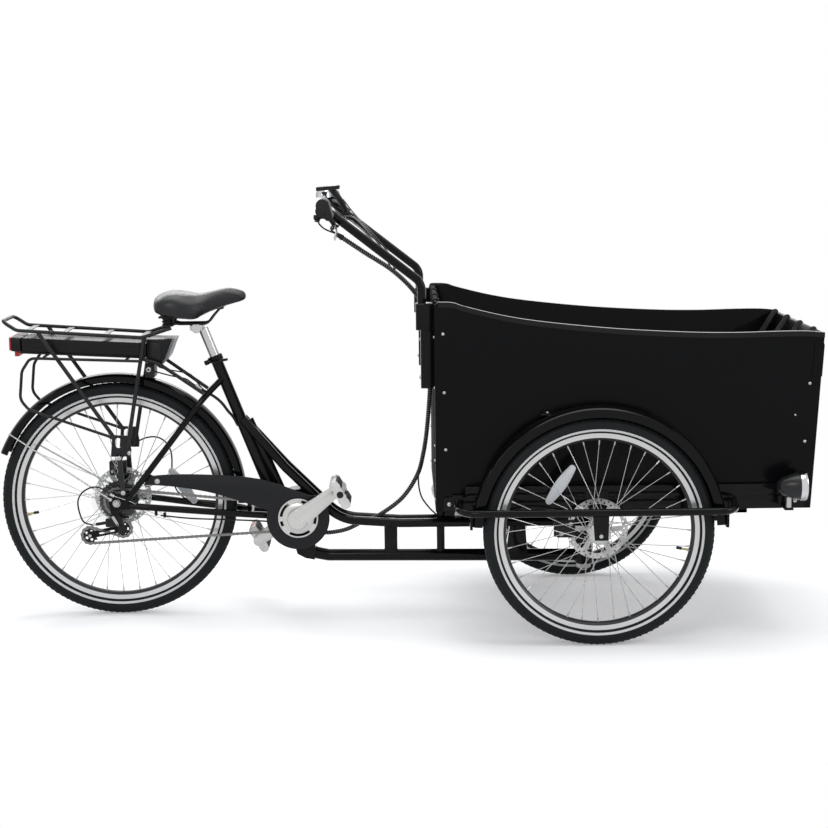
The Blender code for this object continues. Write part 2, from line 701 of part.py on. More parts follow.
def make_frame():
    dropout_y = DROPOUT_INNER_Y + DROPOUT_THICKNESS / 2
    shapes = [frame_ring()]
    shapes.append(rod(seat_point(0), seat_point(0.452), SEAT_TUBE_RADIUS, 12))
    shapes.append(rod(seat_point(0.190, 0.020), seat_point(0.440, 0.029), 0.013, 10))
    front_level = [at(-0.520, TWIN_TUBE_LEVEL), at(0, TWIN_TUBE_LEVEL)]
    for side in (RIGHT, LEFT):
        y = side * TWIN_TUBE_Y
        down = [seat_point(0.182, 0.006), near_crank(0.059, 0.055), near_crank(0.134, 0.007)]
        corners = [(p[0], y, p[2]) for p in (*down, *front_level)]
        corners[0] = (corners[0][0], 0.5 * y, corners[0][2])
        shapes.append(tube(bent(corners, 0.12, 2), TWIN_TUBE_RADIUS, 8))
    lower = [near_crank(0.010, -0.072), near_crank(0.034, -0.108), near_crank(0.080, -0.117),
             at(0, LOWER_TUBE_LEVEL)]
    shapes.append(tube(bent(lower, 0.06), LOWER_TUBE_RADIUS, 10))
    skid = [(-0.020, -0.065), (-0.014, -0.078), (-0.006, -0.108), (0.016, -0.120), (0.043, -0.125),
            (0.047, -0.100), (0.040, -0.055)]
    shapes.append(plate([flat(near_crank(*point)) for point in skid], -0.026, 0.026))

    head = (HEAD_TUBE_BOTTOM, HEAD_TUBE_TOP)
    shapes.append(rod(at(0, head[0]), at(0, head[1]), HEAD_TUBE_RADIUS, 16))
    middle = LOWER_TUBE_LEVEL
    shapes.append(block(at(-0.559, middle, -0.014), at(-0.522, TWIN_TUBE_LEVEL, 0.014)))
    shapes.append(block(at(-0.551, TWIN_TUBE_LEVEL - 0.006, -0.026), at(-0.528, TWIN_TUBE_LEVEL + 0.004, 0.026)))
    shapes.append(plate([flat(at(*p)) for p in ((-0.222, middle), (-0.158, middle), (-0.166, TWIN_TUBE_LEVEL),
                                               (-0.206, TWIN_TUBE_LEVEL))], -0.026, 0.026))
    glide_x = -GLIDE_RADIUS
    shapes.append(rod(at(glide_x, middle), at(glide_x, 0.318), 0.0115, 8))
    shapes.append(rod(at(glide_x, 0.314), at(glide_x, CROSS_PLATE_LOW - GAP), 0.016, 12))
    stop = at(-0.355, 0.272)
    shapes.append(rod(stop - Vector((0, 0.013, 0)), stop + Vector((0, 0.013, 0)), 0.036, 16))
    shapes.append(block(at(-0.372, 0.250, -0.028), at(-0.338, 0.266, 0.028)))

    for side in (RIGHT, LEFT):
        stay = [near_axle(0.036, -0.008, dropout_y), near_axle(0.100, -0.014, 0.066), near_axle(0.220, -0.0275, 0.0500),
                near_axle(0.340, -0.040, 0.0380), near_crank(-0.073, 0.002, 0.0235)]
        shapes.append(for_side(tube(stay, CHAINSTAY_RADIUS, 8), side))
        upper = [near_axle(0.026, 0.004, dropout_y), near_axle(0.180, 0.203, 0.0540), near_axle(0.236, 0.276, 0.0470),
                 seat_point(0.056, 0.0, 0.008)]
        shapes.append(for_side(tube(upper, SEATSTAY_RADIUS, 8), side))
        shapes.append(dropout(side))
    bridge = Vector((0.236, 0.276))
    shapes.append(rod(near_axle(*bridge, -0.047), near_axle(*bridge, 0.047), 0.006, 8))
    seat = bridge.normalized() * (REAR_FENDER_RADIUS + GAP)
    shapes.append(rod(near_axle(*bridge), near_axle(*seat), 0.005, 8))
    shapes.append(rod(near_axle(0.366, -0.041, -0.036), near_axle(0.366, -0.041, 0.036), 0.007, 8))
    shapes.append(block(near_axle(REAR_FENDER_RADIUS + GAP, -0.043, -0.012), near_axle(0.366, 0.004, 0.012)))

    shapes.append(rod(REAR_AXLE - Vector((0, 0.086, 0)), REAR_AXLE + Vector((0, 0.086, 0)), AXLE_RADIUS, 8))
    for side in (RIGHT, LEFT):
        nut_from = REAR_AXLE + Vector((0, side * (dropout_y), 0))
        shapes.append(rod(nut_from, nut_from + Vector((0, side * 0.0105, 0)), 0.0105, 6))
    spacer = near_axle(0, 0, CASSETTE_RIGHT_END - RUNNING_GAP)
    shapes.append(rod(spacer, near_axle(0, 0, -dropout_y), 0.0095, 8))
    tab = [near_axle(0.062, 0.058), near_axle(0.080, 0.082), near_axle(0.118, 0.066), near_axle(0.116, 0.050),
           near_axle(0.100, 0.048)]
    tab_low = CHAIN_GUARD_Y + GUARD_THICKNESS / 2 + GAP
    shapes.append(plate([flat(p) for p in tab], tab_low, tab_low + 0.004))
    shapes.append(rod(near_axle(0.074, 0.070, tab_low + 0.004), near_axle(0.074, 0.070, -0.066), 0.005, 8))
    caliper_tab = [near_axle(-0.012, 0.024), near_axle(0.014, 0.024), near_axle(0.012, 0.096),
                   near_axle(-0.034, 0.096), near_axle(-0.034, 0.084)]
    shapes.append(plate([flat(p) for p in caliper_tab], DROPOUT_INNER_Y, dropout_y))

    bore_half = 0.060
    cuts = [rod(CRANK - Vector((0, bore_half, 0)), CRANK + Vector((0, bore_half, 0)),
                DRIVE_UNIT_RADIUS + RUNNING_GAP, 24)]
    cuts.append(rod(seat_point(SEAT_BORE_DEPTH), seat_point(-0.02), SEATPOST_RADIUS + GAP, 12))
    cuts.append(rod(at(0, head[0] - 0.02), at(0, head[1] + 0.02), HEAD_BORE, 12))
    piece("frame", fused(shapes, cuts), FRAME_BLACK)


def placed(shape, matrix):
    shape.data.transform(matrix)
    return shape


def hull_outline(start, start_radius, end, end_radius, steps=5):
    """The outline round two circles, given as (u, v) centres."""
    along = Vector(end) - Vector(start)
    heading = degrees(atan2(along.y, along.x))
    spread = degrees(acos((start_radius - end_radius) / along.length))
    outline = arc(end, end_radius, heading - spread, heading + spread, steps)
    return outline + arc(start, start_radius, heading + spread, heading + 360 - spread, steps)


def across(point, half, radius, sides=12):
    """A round bar across the machine, centred on a point."""
    reach = Vector((0, half, 0))
    return rod(point - reach, point + reach, radius, sides)


def at_y(point, y):
    return Vector((point[0], y, point[2]))


# Drive

def make_drive_unit():
    profile = [(BOTTOM_BORE, DRIVE_UNIT_RIGHT), (BOTTOM_BORE, DRIVE_UNIT_LEFT),
               (DRIVE_UNIT_RADIUS, DRIVE_UNIT_LEFT), (DRIVE_UNIT_RADIUS, DRIVE_UNIT_RIGHT)]
    piece("drive_unit", turned(profile, (0, 1, 0), CRANK, 24), PLASTIC_BLACK)


def chain_loop(offset):
    """The chain's line, offset outwards, round the sprocket, the cog and the two pulleys."""
    cog, pulley = pitch_radius(COG_TEETH), pitch_radius(PULLEY_TEETH)
    stations = [
        (flat(CRANK), pitch_radius(SPROCKET_TEETH) + offset, -1),
        (flat(TENSION_PULLEY), pulley + offset, -1),
        (flat(GUIDE_PULLEY), pulley - offset, 1),
        (flat(REAR_AXLE), cog + offset, -1),
    ]
    headings = []
    for (c1, r1, d1), (c2, r2, d2) in zip(stations, stations[1:] + stations[:1]):
        run = Vector(c2) - Vector(c1)
        headings.append(atan2(run.y, run.x) + asin((d1 * r1 - d2 * r2) / run.length))
    loop = []
    for index, (centre, radius, turn) in enumerate(stations):
        arrive, leave = headings[index - 1], headings[index]
        sweep = (leave - arrive) * turn % (2 * pi)
        steps = max(2, ceil(sweep / CHAIN_STEP))
        for step in range(steps + 1):
            angle = arrive + turn * sweep * step / steps - turn * pi / 2
            loop.append((centre[0] + radius * cos(angle), centre[1] + radius * sin(angle)))
    return loop


def cog_radius(teeth):
    """A cog's outer radius, just inside the chain's facets."""
    return (pitch_radius(teeth) - CHAIN_HEIGHT / 2) * cos(CHAIN_STEP / 2) - GAP


def make_chain():
    half = CHAIN_HEIGHT / 2
    low, high = CHAIN_Y - CHAIN_WIDTH / 2, CHAIN_Y + CHAIN_WIDTH / 2
    piece("chain", plate(chain_loop(half), low, high, "XZ", [chain_loop(-half)]), CHAIN_STEEL)


def make_cassette():
    sizes = [0.0565, 0.0440, cog_radius(COG_TEETH)]
    profile = [(AXLE_BORE, CASSETTE_LEFT_END)]
    for index, radius in enumerate(sizes):
        middle = CHAIN_Y + (2 - index) * COG_SPACING
        profile += [(CASSETTE_CORE, middle + COG_THICKNESS / 2), (radius, middle + COG_THICKNESS / 2),
                    (radius, middle - COG_THICKNESS / 2), (CASSETTE_CORE, middle - COG_THICKNESS / 2)]
    profile += [(CASSETTE_CORE, CASSETTE_RIGHT_END), (AXLE_BORE, CASSETTE_RIGHT_END)]
    profile[1:1] = [(CASSETTE_CORE, CASSETTE_LEFT_END)]
    piece("cassette", turned(profile, (0, 1, 0), REAR_AXLE, 16), COG_STEEL, "cassette")


def make_sprocket():
    """The small sprocket and the slotted silver cover outside it, on one hub."""
    tooth = cog_radius(SPROCKET_TEETH)
    cover_low = CHAIN_GUARD_Y + 0.0010
    profile = [(BOTTOM_BORE, DRIVE_UNIT_RIGHT - RUNNING_GAP), (0.020, DRIVE_UNIT_RIGHT - RUNNING_GAP)]
    profile += [(0.020, CHAIN_Y + COG_THICKNESS), (tooth, CHAIN_Y + COG_THICKNESS)]
    profile += [(tooth, CHAIN_Y - COG_THICKNESS), (0.020, CHAIN_Y - COG_THICKNESS)]
    profile += [(0.020, cover_low), (BOTTOM_BORE, cover_low)]
    slots = []
    for index in range(5):
        start = 72 * index + 10
        slots.append(arc(flat(CRANK), 0.0490, start, start + 50, 2) + arc(flat(CRANK), 0.0350, start + 50, start, 1))
    bore = circle(flat(CRANK), BOTTOM_BORE, 12)
    cover = plate(circle(flat(CRANK), COVER_RADIUS, 24), cover_low, cover_low + 0.0040, "XZ", [bore, *slots])
    piece("chainring", fused([turned(profile, (0, 1, 0), CRANK, 12), cover]), CRANK_ALLOY, "sprocket")


def make_chain_guard():
    nose = [(0.029, 0.067), (0.059, 0.067)]
    top = [(-0.422, 0.100), (-0.409, 0.117), (-0.3825, 0.126), (-0.267, 0.127), (-0.108, 0.113)]
    under = [(-0.092, 0.027), (-0.225, 0.072), (-0.323, 0.091), (-0.377, 0.097)]
    ring = arc((0, 0), GUARD_RADIUS, 49, -196, 18)
    outline = top + [nose[0], nose[1]] + ring + under
    outline = [flat(near_crank(*point)) for point in outline]
    hole = circle(flat(CRANK), COVER_RADIUS + 0.0012, 24)
    low = CHAIN_GUARD_Y - GUARD_THICKNESS / 2
    piece("chain_guard", plate(outline, low, low + GUARD_THICKNESS, "XZ", [hole]), GUARD_BLACK)


def crank_arm(side):
    """One arm with its pedal axle. The right one carries the spindle."""
    pedal = pedal_centre(side)
    inner, outer = CRANK_ARM_Y, CRANK_ARM_Y + CRANK_ARM_THICKNESS
    arm = plate(hull_outline(flat(CRANK), 0.020, flat(pedal), 0.0135), inner, outer)
    boss = rod(at_y(CRANK, inner - 0.0065), at_y(CRANK, outer - 0.002), 0.027, 12)
    axle = rod(at_y(pedal, outer - 0.004), at_y(pedal, PEDAL_OUTER_Y - 0.004), PEDAL_AXLE_RADIUS, 8)
    spindle_end = inner + 0.009
    if side == RIGHT:
        spindle = rod(at_y(CRANK, inner - 0.002), at_y(CRANK, -spindle_end), SPINDLE_RADIUS, 12)
        return fused([arm, boss, axle, spindle])
    bore = rod(at_y(CRANK, inner - 0.02), at_y(CRANK, spindle_end + GAP), SPINDLE_RADIUS + GAP, 12)
    return fused([arm, boss, axle], [bore])


def make_cranks():
    for side in (RIGHT, LEFT):
        name = SIDE_NAMES[side]
        piece("crank_" + name, for_side(crank_arm(side), side), CRANK_ALLOY, "crank")
        pedal = pedal_centre(side)
        low = (-PEDAL_LENGTH / 2, PEDAL_INNER_Y, -PEDAL_THICKNESS / 2)
        high = (PEDAL_LENGTH / 2, PEDAL_OUTER_Y, PEDAL_THICKNESS / 2)
        slab = rounded(block(low, high), 0.006, 1)
        turn = Matrix.Translation((pedal[0], 0, pedal[2])) @ Matrix.Rotation(-PEDAL_ANGLE, 4, "Y")
        bore = rod(at_y(pedal, PEDAL_INNER_Y - 0.01), at_y(pedal, PEDAL_OUTER_Y - 0.0035),
                   PEDAL_AXLE_RADIUS + RUNNING_GAP, 8)
        shape = fused([placed(slab, turn)], [bore])
        piece("pedal_" + name, for_side(shape, side), CRANK_ALLOY, "pedal_" + name)


def make_derailleur():
    """A body on the dropout's hanger, and a cage with two pulleys that swings at the upper one."""
    outer_plate, inner_plate = CHAIN_Y - CAGE_HALF_WIDTH, CHAIN_Y + CAGE_HALF_WIDTH
    links = hull_outline(flat(near_axle(-0.008, -0.028)), 0.012, flat(GUIDE_PULLEY), 0.013)
    inner_face = min(outer_plate - CAGE_WALL / 2, CASSETTE_RIGHT_END) - RUNNING_GAP
    shape = plate(links, -DROPOUT_INNER_Y + GAP, inner_face)
    adjuster = rod(near_axle(-0.006, -0.052, -0.061), near_axle(-0.060, -0.060, -0.061), 0.0045, 8)
    piece("derailleur_body", fused([shape, adjuster]), FRAME_BLACK)
    outline = hull_outline(flat(GUIDE_PULLEY), 0.012, flat(TENSION_PULLEY), 0.012)
    sides = [plate(outline, y - CAGE_WALL / 2, y + CAGE_WALL / 2) for y in (outer_plate, inner_plate)]
    bolts = [across(at_y(pulley, CHAIN_Y), CAGE_HALF_WIDTH, PULLEY_BOLT_RADIUS, 8)
             for pulley in (GUIDE_PULLEY, TENSION_PULLEY)]
    piece("derailleur_cage", fused(sides + bolts), FRAME_BLACK, "derailleur_cage")
    radius = (pitch_radius(PULLEY_TEETH) - CHAIN_HEIGHT / 2) * cos(CHAIN_STEP / 2) - GAP
    bore = PULLEY_BOLT_RADIUS + RUNNING_GAP
    for name, centre in (("guide_pulley", GUIDE_PULLEY), ("tension_pulley", TENSION_PULLEY)):
        profile = [(bore, -COG_THICKNESS), (bore, COG_THICKNESS), (radius, COG_THICKNESS), (radius, -COG_THICKNESS)]
        piece(name, turned(profile, (0, 1, 0), at_y(centre, CHAIN_Y), 12), PLASTIC_BLACK, name)


# Seat

def make_seat():
    head = on_saddle(0.013, 0.0865)
    post = rod(seat_point(SEATPOST_INSERTION), seat_point(-0.090), SEATPOST_RADIUS, 12)
    clamp_block = block(head - Vector((0.020, 0.025, 0.008)), head + Vector((0.020, 0.025, 0.008)))
    piece("seatpost", fused([post, clamp_block]), POST_ALLOY, "seatpost")

    rail_z = 0.0945 + SADDLE_RAIL_RADIUS + GAP
    shapes = []
    for side in (RIGHT, LEFT):
        route = [(0.098, 0.142, 0.011), (0.066, 0.122, 0.018), (0.044, rail_z, 0.022), (-0.036, rail_z, 0.022),
                 (-0.062, rail_z + 0.008, 0.033)]
        points = [on_saddle(x, z, side * y) for x, z, y in route]
        shapes.append(tube(bent(points, 0.03, 2), SADDLE_RAIL_RADIUS, 6))
        foot = on_saddle(-0.062, 0.094, side * 0.036)
        shapes.append(rod(foot, foot + Vector((0, 0, 0.026)), 0.017, 12))
    rear_plate = (on_saddle(-0.086, 0.117, -0.056), on_saddle(-0.038, 0.1225, 0.056))
    front_block = (on_saddle(0.088, 0.136, -0.017), on_saddle(0.108, 0.152, 0.017))
    shapes += [block(*rear_plate), block(*front_block)]
    piece("saddle_rails", fused(shapes), CHAIN_STEEL, "seatpost")

    grow = Vector((GAP, GAP, GAP))
    pockets = [block(low - grow - Vector((0, 0, 0.03)), high + grow) for low, high in (rear_plate, front_block)]
    pockets.append(block(on_saddle(0.056, 0.105, -0.022), on_saddle(0.090, 0.146, 0.022)))
    piece("saddle", fused([saddle_shell()], pockets), SADDLE_COVER, "seatpost", 60)


def saddle_shell():
    """A loft from tail to nose under a subdivision surface: crown, sides and a skirt round a raised underside."""
    sections = (
        (-0.103, 0.060, 0.150, 0.136, 0.116, 0.123),
        (-0.088, 0.098, 0.174, 0.150, 0.107, 0.120),
        (-0.040, 0.109, 0.186, 0.158, 0.104, 0.119),
        (0.010, 0.090, 0.175, 0.152, 0.104, 0.121),
        (0.056, 0.060, 0.181, 0.158, 0.112, 0.126),
        (0.104, 0.040, 0.194, 0.173, 0.130, 0.140),
        (0.138, 0.030, 0.194, 0.177, 0.144, 0.150),
        (0.151, 0.014, 0.180, 0.170, 0.152, 0.156),
    )
    bm = bmesh.new()
    rings = []
    for x, half, top, side, skirt, under in sections:
        loop = [(0, top), (0.45 * half, top - 0.002), (0.82 * half, top - 0.010), (half, side),
                (0.97 * half, skirt), (0.78 * half, under)]
        loop += [(-y, z) for y, z in reversed(loop[1:])]
        rings.append([bm.verts.new(on_saddle(x, z, y)) for y, z in loop])
    for before, after in zip(rings, rings[1:]):
        for index in range(len(before)):
            follow = (index + 1) % len(before)
            bm.faces.new((before[index], before[follow], after[follow], after[index]))
    for ring in (rings[0], rings[-1]):
        bm.faces.new(ring)
    bmesh.ops.recalc_face_normals(bm, faces=bm.faces)
    shell = from_bmesh(bm)
    subdivision = shell.modifiers.new("soft", "SUBSURF")
    subdivision.levels = subdivision.render_levels = 1
    return baked(shell)


def make_seat_clamp():
    inner, outer = SEAT_TUBE_RADIUS + GAP, SEAT_TUBE_RADIUS + 0.005
    profile = [(inner, -0.019), (inner, -0.003), (outer, -0.003), (outer, -0.019)]
    ring = turned(profile, SEAT_AXIS, seat_point(0), 12)
    ear = rod(seat_point(0.012, -0.0235, -0.0148), seat_point(0.012, -0.0235, 0.016), 0.0065, 8)
    bore = rod(seat_point(0.05), seat_point(-0.05), inner, 12)
    piece("seat_clamp", fused([ring, ear], [bore]), FRAME_BLACK)
    pivot = seat_point(0.012, -0.0245, -0.0205)
    eye = rod(pivot - SEAT_AXIS * 0.0065, pivot + SEAT_AXIS * 0.0065, 0.0052, 10)
    blade = tube(bent([pivot, pivot + SEAT_FORWARD * 0.014 + Vector((0, -0.007, 0)),
                       pivot + SEAT_FORWARD * 0.060 + Vector((0, -0.010, 0))], 0.01, 2), 0.0036, 8)
    piece("seat_lever", fused([eye, blade]), FRAME_BLACK, "seat_lever")


# Rear rack, battery and fender

def make_rack():
    rail_y, leg_y, loop_y = RACK_RAIL_Y, RACK_LEG_Y, 0.082
    shapes = []
    half = [(-0.615, 0.809), (-0.6945, 0.784), (-0.808, 0.7906), (-0.973, 0.8035), (-1.033, 0.807), (-1.071, 0.832)]
    half = [near_axle(x - REAR_AXLE_DRAWN[0], z - REAR_AXLE_DRAWN[1], rail_y) for x, z in half]
    rails = half + [at_y(point, -rail_y) for point in reversed(half)]
    shapes.append(tube(bent(rails, 0.035, 1), 0.005, 6))
    for x, z in ((-0.226, 0.4797), (-0.129, 0.4724), (-0.019, 0.4641), (0.084, 0.4585)):
        shapes.append(across(near_axle(x, z), rail_y, 0.004, 6))
    loop = [(0.080, 0.3945), (-0.194, 0.405), (-0.219, 0.405), (-0.242, 0.371), (-0.250, 0.293), (-0.2275, 0.265),
            (-0.015, 0.190), (0.000, 0.182)]
    for side in (RIGHT, LEFT):
        y = side * rail_y
        shapes.append(rod(near_axle(-0.196, 0.475, y), near_axle(-0.007, 0.201, side * leg_y), 0.0055, 6))
        shapes.append(rod(near_axle(0.091, 0.459, y), near_axle(0.033, 0.1375, side * leg_y), 0.0055, 6))
        plate_low = leg_y - 0.0015
        foot = [near_axle(-0.007, 0.135), near_axle(0.050, 0.135), near_axle(0.065, 0.160), near_axle(0.060, 0.192),
                near_axle(-0.007, 0.192)]
        shapes.append(for_side(plate([flat(point) for point in foot], plate_low, plate_low + 0.003), side))
        shapes.append(rod(near_axle(0.001, 0.144, side * leg_y), near_axle(0.001, 0.019, side * leg_y), 0.005, 6))
        route = [near_axle(x, z, side * loop_y) for x, z in loop]
        shapes.append(tube(bent(route, 0.02, 1), 0.004, 6))
        stay = [near_axle(0.080, 0.3985, side * 0.0612), near_axle(0.125, 0.386, side * 0.0612),
                near_axle(0.246, 0.300, side * 0.0550)]
        shapes.append(tube(bent(stay, 0.04, 1), 0.005, 6))
        shapes.append(rod(near_axle(0.080, 0.3985, side * 0.0612), near_axle(0.080, 0.3945, side * loop_y), 0.005, 6))
    tray = [near_axle(-0.250, 0.4192), near_axle(0.080, 0.4018), near_axle(0.080, 0.3978), near_axle(-0.250, 0.4152)]
    shapes.append(plate([flat(point) for point in tray], -0.050, 0.050))
    for x, z in ((-0.180, 0.409), (0.040, 0.3975)):
        shapes.append(across(near_axle(x, z), loop_y, 0.0035, 6))
    shapes.append(across(near_axle(0.080, 0.3975), 0.0612, 0.004, 6))
    piece("rear_rack", fused(shapes), FRAME_BLACK)


def make_battery():
    corners = [near_axle(-0.277, 0.4214), near_axle(0.0935, 0.4019), near_axle(0.0935, 0.4415),
               near_axle(-0.277, 0.4610)]
    case = plate([flat(corner) for corner in corners], -BATTERY_HALF_WIDTH, BATTERY_HALF_WIDTH)
    piece("battery", rounded(case, 0.005, 1), PLASTIC_BLACK, "battery")
    box = [near_axle(0.0940, 0.3805), near_axle(0.158, 0.3805), near_axle(0.168, 0.402), near_axle(0.152, 0.451),
           near_axle(0.138, 0.456), near_axle(0.0940, 0.456)]
    shape = plate([flat(corner) for corner in box], -0.0555, 0.0555)
    piece("controller_box", rounded(shape, 0.004, 1), PLASTIC_BLACK)


def fender_shape(radius, centre, start_deg, end_deg, sides):
    half, wall = FENDER_HALF_WIDTH, FENDER_WALL
    crown = [(radius - 0.0085, -half), (radius - 0.0022, -0.64 * half), (radius, 0), (radius - 0.0022, 0.64 * half),
             (radius - 0.0085, half)]
    profile = crown + [(r - wall, y) for r, y in reversed(crown)]
    sweep = radians(end_deg - start_deg)
    return turned(profile, (0, 1, 0), centre, sides, -radians(end_deg), sweep)


def make_rear_fender():
    shapes = [fender_shape(REAR_FENDER_RADIUS, REAR_AXLE, -2, 157, 12)]
    for side in (RIGHT, LEFT):
        top = near_axle(-0.290, 0.186, side * (FENDER_HALF_WIDTH - 0.0005))
        shapes.append(rod(top, near_axle(-0.016, 0.012, side * 0.0766), 0.0022, 6))
    piece("rear_fender", fused(shapes), FENDER_BLACK)
    body_low = near_axle(-0.036, 0.056, 0.0425)
    body_high = near_axle(0.012, 0.098, DROPOUT_INNER_Y - GAP)
    slot_half = ROTOR_THICKNESS / 2 + 0.0009
    slot = across(at_y(REAR_AXLE, REAR_ROTOR_Y), slot_half, ROTOR_RADIUS + 0.0015, 24)
    shape = rounded(block(body_low, body_high), 0.003, 1)
    piece("rear_brake_caliper", fused([shape], [slot]), PLASTIC_BLACK)


# Steered chassis

def make_steer_chassis():
    flush = BOX_HALF_WIDTH + GAP
    skirt = BOX_HALF_WIDTH + SKIRT_PROUD
    low, high = CROSS_PLATE_LOW, CROSS_PLATE_HIGH
    shapes = []
    for span in ((-0.353, -0.293), (-0.070, 0.070), (0.335, 0.395)):
        shapes.append(block(at(span[0], low, -skirt), at(span[1], high, skirt)))
    shapes.append(block(at(-0.415, low, -0.030), at(0.390, high, 0.030)))
    sector = arc((STEER_X, 0), GLIDE_RADIUS + GLIDE_BAND / 2, 140, 220, 12)
    sector += arc((STEER_X, 0), GLIDE_RADIUS - GLIDE_BAND / 2, 220, 140, 12)
    shapes.append(plate(sector, low, high, "XY"))
    shapes.append(rod(at(0, HEAD_TUBE_TOP + RUNNING_GAP), at(0, low + 0.004), 0.032, 16))
    shapes.append(rod(at(0, HEAD_TUBE_BOTTOM - 0.017), at(0, low + 0.002), KINGPIN_RADIUS, 12))
    shapes.append(rod(at(0, HEAD_TUBE_BOTTOM - 0.0145), at(0, HEAD_TUBE_BOTTOM - RUNNING_GAP), 0.020, 6))
    axle_z = FRONT_WHEEL_RADIUS
    hub_inner = TRACK / 2 - FRONT_HUB_HALF_LENGTH
    hub_outer = TRACK / 2 + FRONT_HUB_HALF_LENGTH
    bar_y = TRACK / 2 + GUARD_BAR_OFFSET
    plate_y = hub_outer + 0.0015
    for side in (RIGHT, LEFT):
        mine = [block(at(-0.343, RAIL_LOW - 0.002, flush), at(0.477, RAIL_HIGH, RAIL_OUTER))]
        mine.append(block(at(-0.400, BOX_BOTTOM + 0.003, flush), at(0.545, RAIL_LOW, skirt)))
        for span in ((-0.353, -0.293), (-0.070, 0.070), (0.335, 0.395)):
            mine.append(block(at(span[0], low, flush), at(span[1], BOX_BOTTOM + 0.006, skirt)))
        mine.append(block(at(-0.030, axle_z - 0.038, skirt - 0.001), at(0.030, RAIL_HIGH - 0.012, hub_inner - 0.0012)))
        mine.append(block(at(-0.112, axle_z - 0.024, skirt - 0.001), at(0, axle_z + 0.045, hub_inner - 0.0012)))
        mine.append(rod(at(0, axle_z, skirt), at(0, axle_z, plate_y + 0.015), AXLE_RADIUS, 8))
        nut = plate_y + AXLE_PLATE_THICKNESS
        mine.append(rod(at(0, axle_z, nut - 0.001), at(0, axle_z, nut + 0.008), 0.0105, 6))
        hanger = [(-0.0215, axle_z - 0.010), (-0.012, axle_z - 0.020), (0.012, axle_z - 0.020),
                  (0.0215, axle_z - 0.010), (0.0215, GUARD_BAR_LEVEL), (-0.0215, GUARD_BAR_LEVEL)]
        mine.append(plate([flat(at(*point)) for point in hanger], plate_y, nut))
        bar_end = skirt - 0.003
        bar = [at(GUARD_BAR_REAR, 0.369, bar_end), at(GUARD_BAR_REAR, GUARD_BAR_LEVEL, bar_y),
               at(GUARD_BAR_FRONT, GUARD_BAR_LEVEL, bar_y), at(GUARD_BAR_FRONT, 0.369, bar_end)]
        mine.append(tube(bent(bar, 0.035, 2), GUARD_BAR_RADIUS, 8))
        if side == RIGHT:
            top = LAMP_BRACKET_TOP
            mine.append(block(at(0.482, top - 0.0055, flush), at(0.505, top, -HEADLIGHT.y + 0.010)))
        shapes += [for_side(shape, side) for shape in mine]
    piece("steer_chassis", fused(shapes), FRAME_BLACK, "steering")


def make_front_details():
    flush = BOX_HALF_WIDTH + GAP
    for side in (RIGHT, LEFT):
        name = SIDE_NAMES[side]
        centre = at(0, FRONT_WHEEL_RADIUS, TRACK / 2)
        arch = fender_shape(FRONT_FENDER_RADIUS, centre, 3.5, 176.5, 12)
        inner_edge = TRACK / 2 - FENDER_HALF_WIDTH
        tab = block(at(-0.148, 0.600, flush), at(-0.068, 0.608, inner_edge + 0.006))
        piece("fender_front_" + name, for_side(fused([arch, tab]), side), FENDER_BLACK, "steering")
        rotor_y = TRACK / 2 - FRONT_ROTOR_OFFSET
        plate_face = TRACK / 2 - FRONT_HUB_HALF_LENGTH - 0.0012
        caliper = rounded(block(at(-0.106, 0.278, plate_face + GAP), at(-0.058, 0.324, rotor_y + 0.0085)), 0.002, 1)
        slot = across(at(0, FRONT_WHEEL_RADIUS, rotor_y), ROTOR_THICKNESS / 2 + 0.0009, ROTOR_RADIUS + 0.0015, 24)
        shape = for_side(fused([caliper], [slot]), side)
        piece("caliper_front_" + name, shape, PLASTIC_BLACK, "steering")
    profile = [(0, -0.0296), (0.012, -0.0276), (0.022, -0.0166), (0.030, 0.0014), (0.0355, 0.0234), (0.0355, 0.0334),
               (0.0378, 0.0344), (0.0378, 0.0564), (0.034, 0.0574), (0, 0.0574)]
    shell = turned(profile, (1, 0, 0), HEADLIGHT, 12, ring=False)
    foot = Vector((HEADLIGHT.x, HEADLIGHT.y, LAMP_BRACKET_TOP + GAP))
    piece("headlight", fused([shell, rod(foot, HEADLIGHT, 0.005, 8)]), CHROME, "headlight")


# Cargo box

def front_panel_x(height):
    """The front panel's outer face at a height, from the steering axis."""
    (x1, z1), (x2, z2) = BOX_FRONT_BOTTOM, BOX_FRONT_TOP
    return x1 + (height - z1) * (x2 - x1) / (z2 - z1)


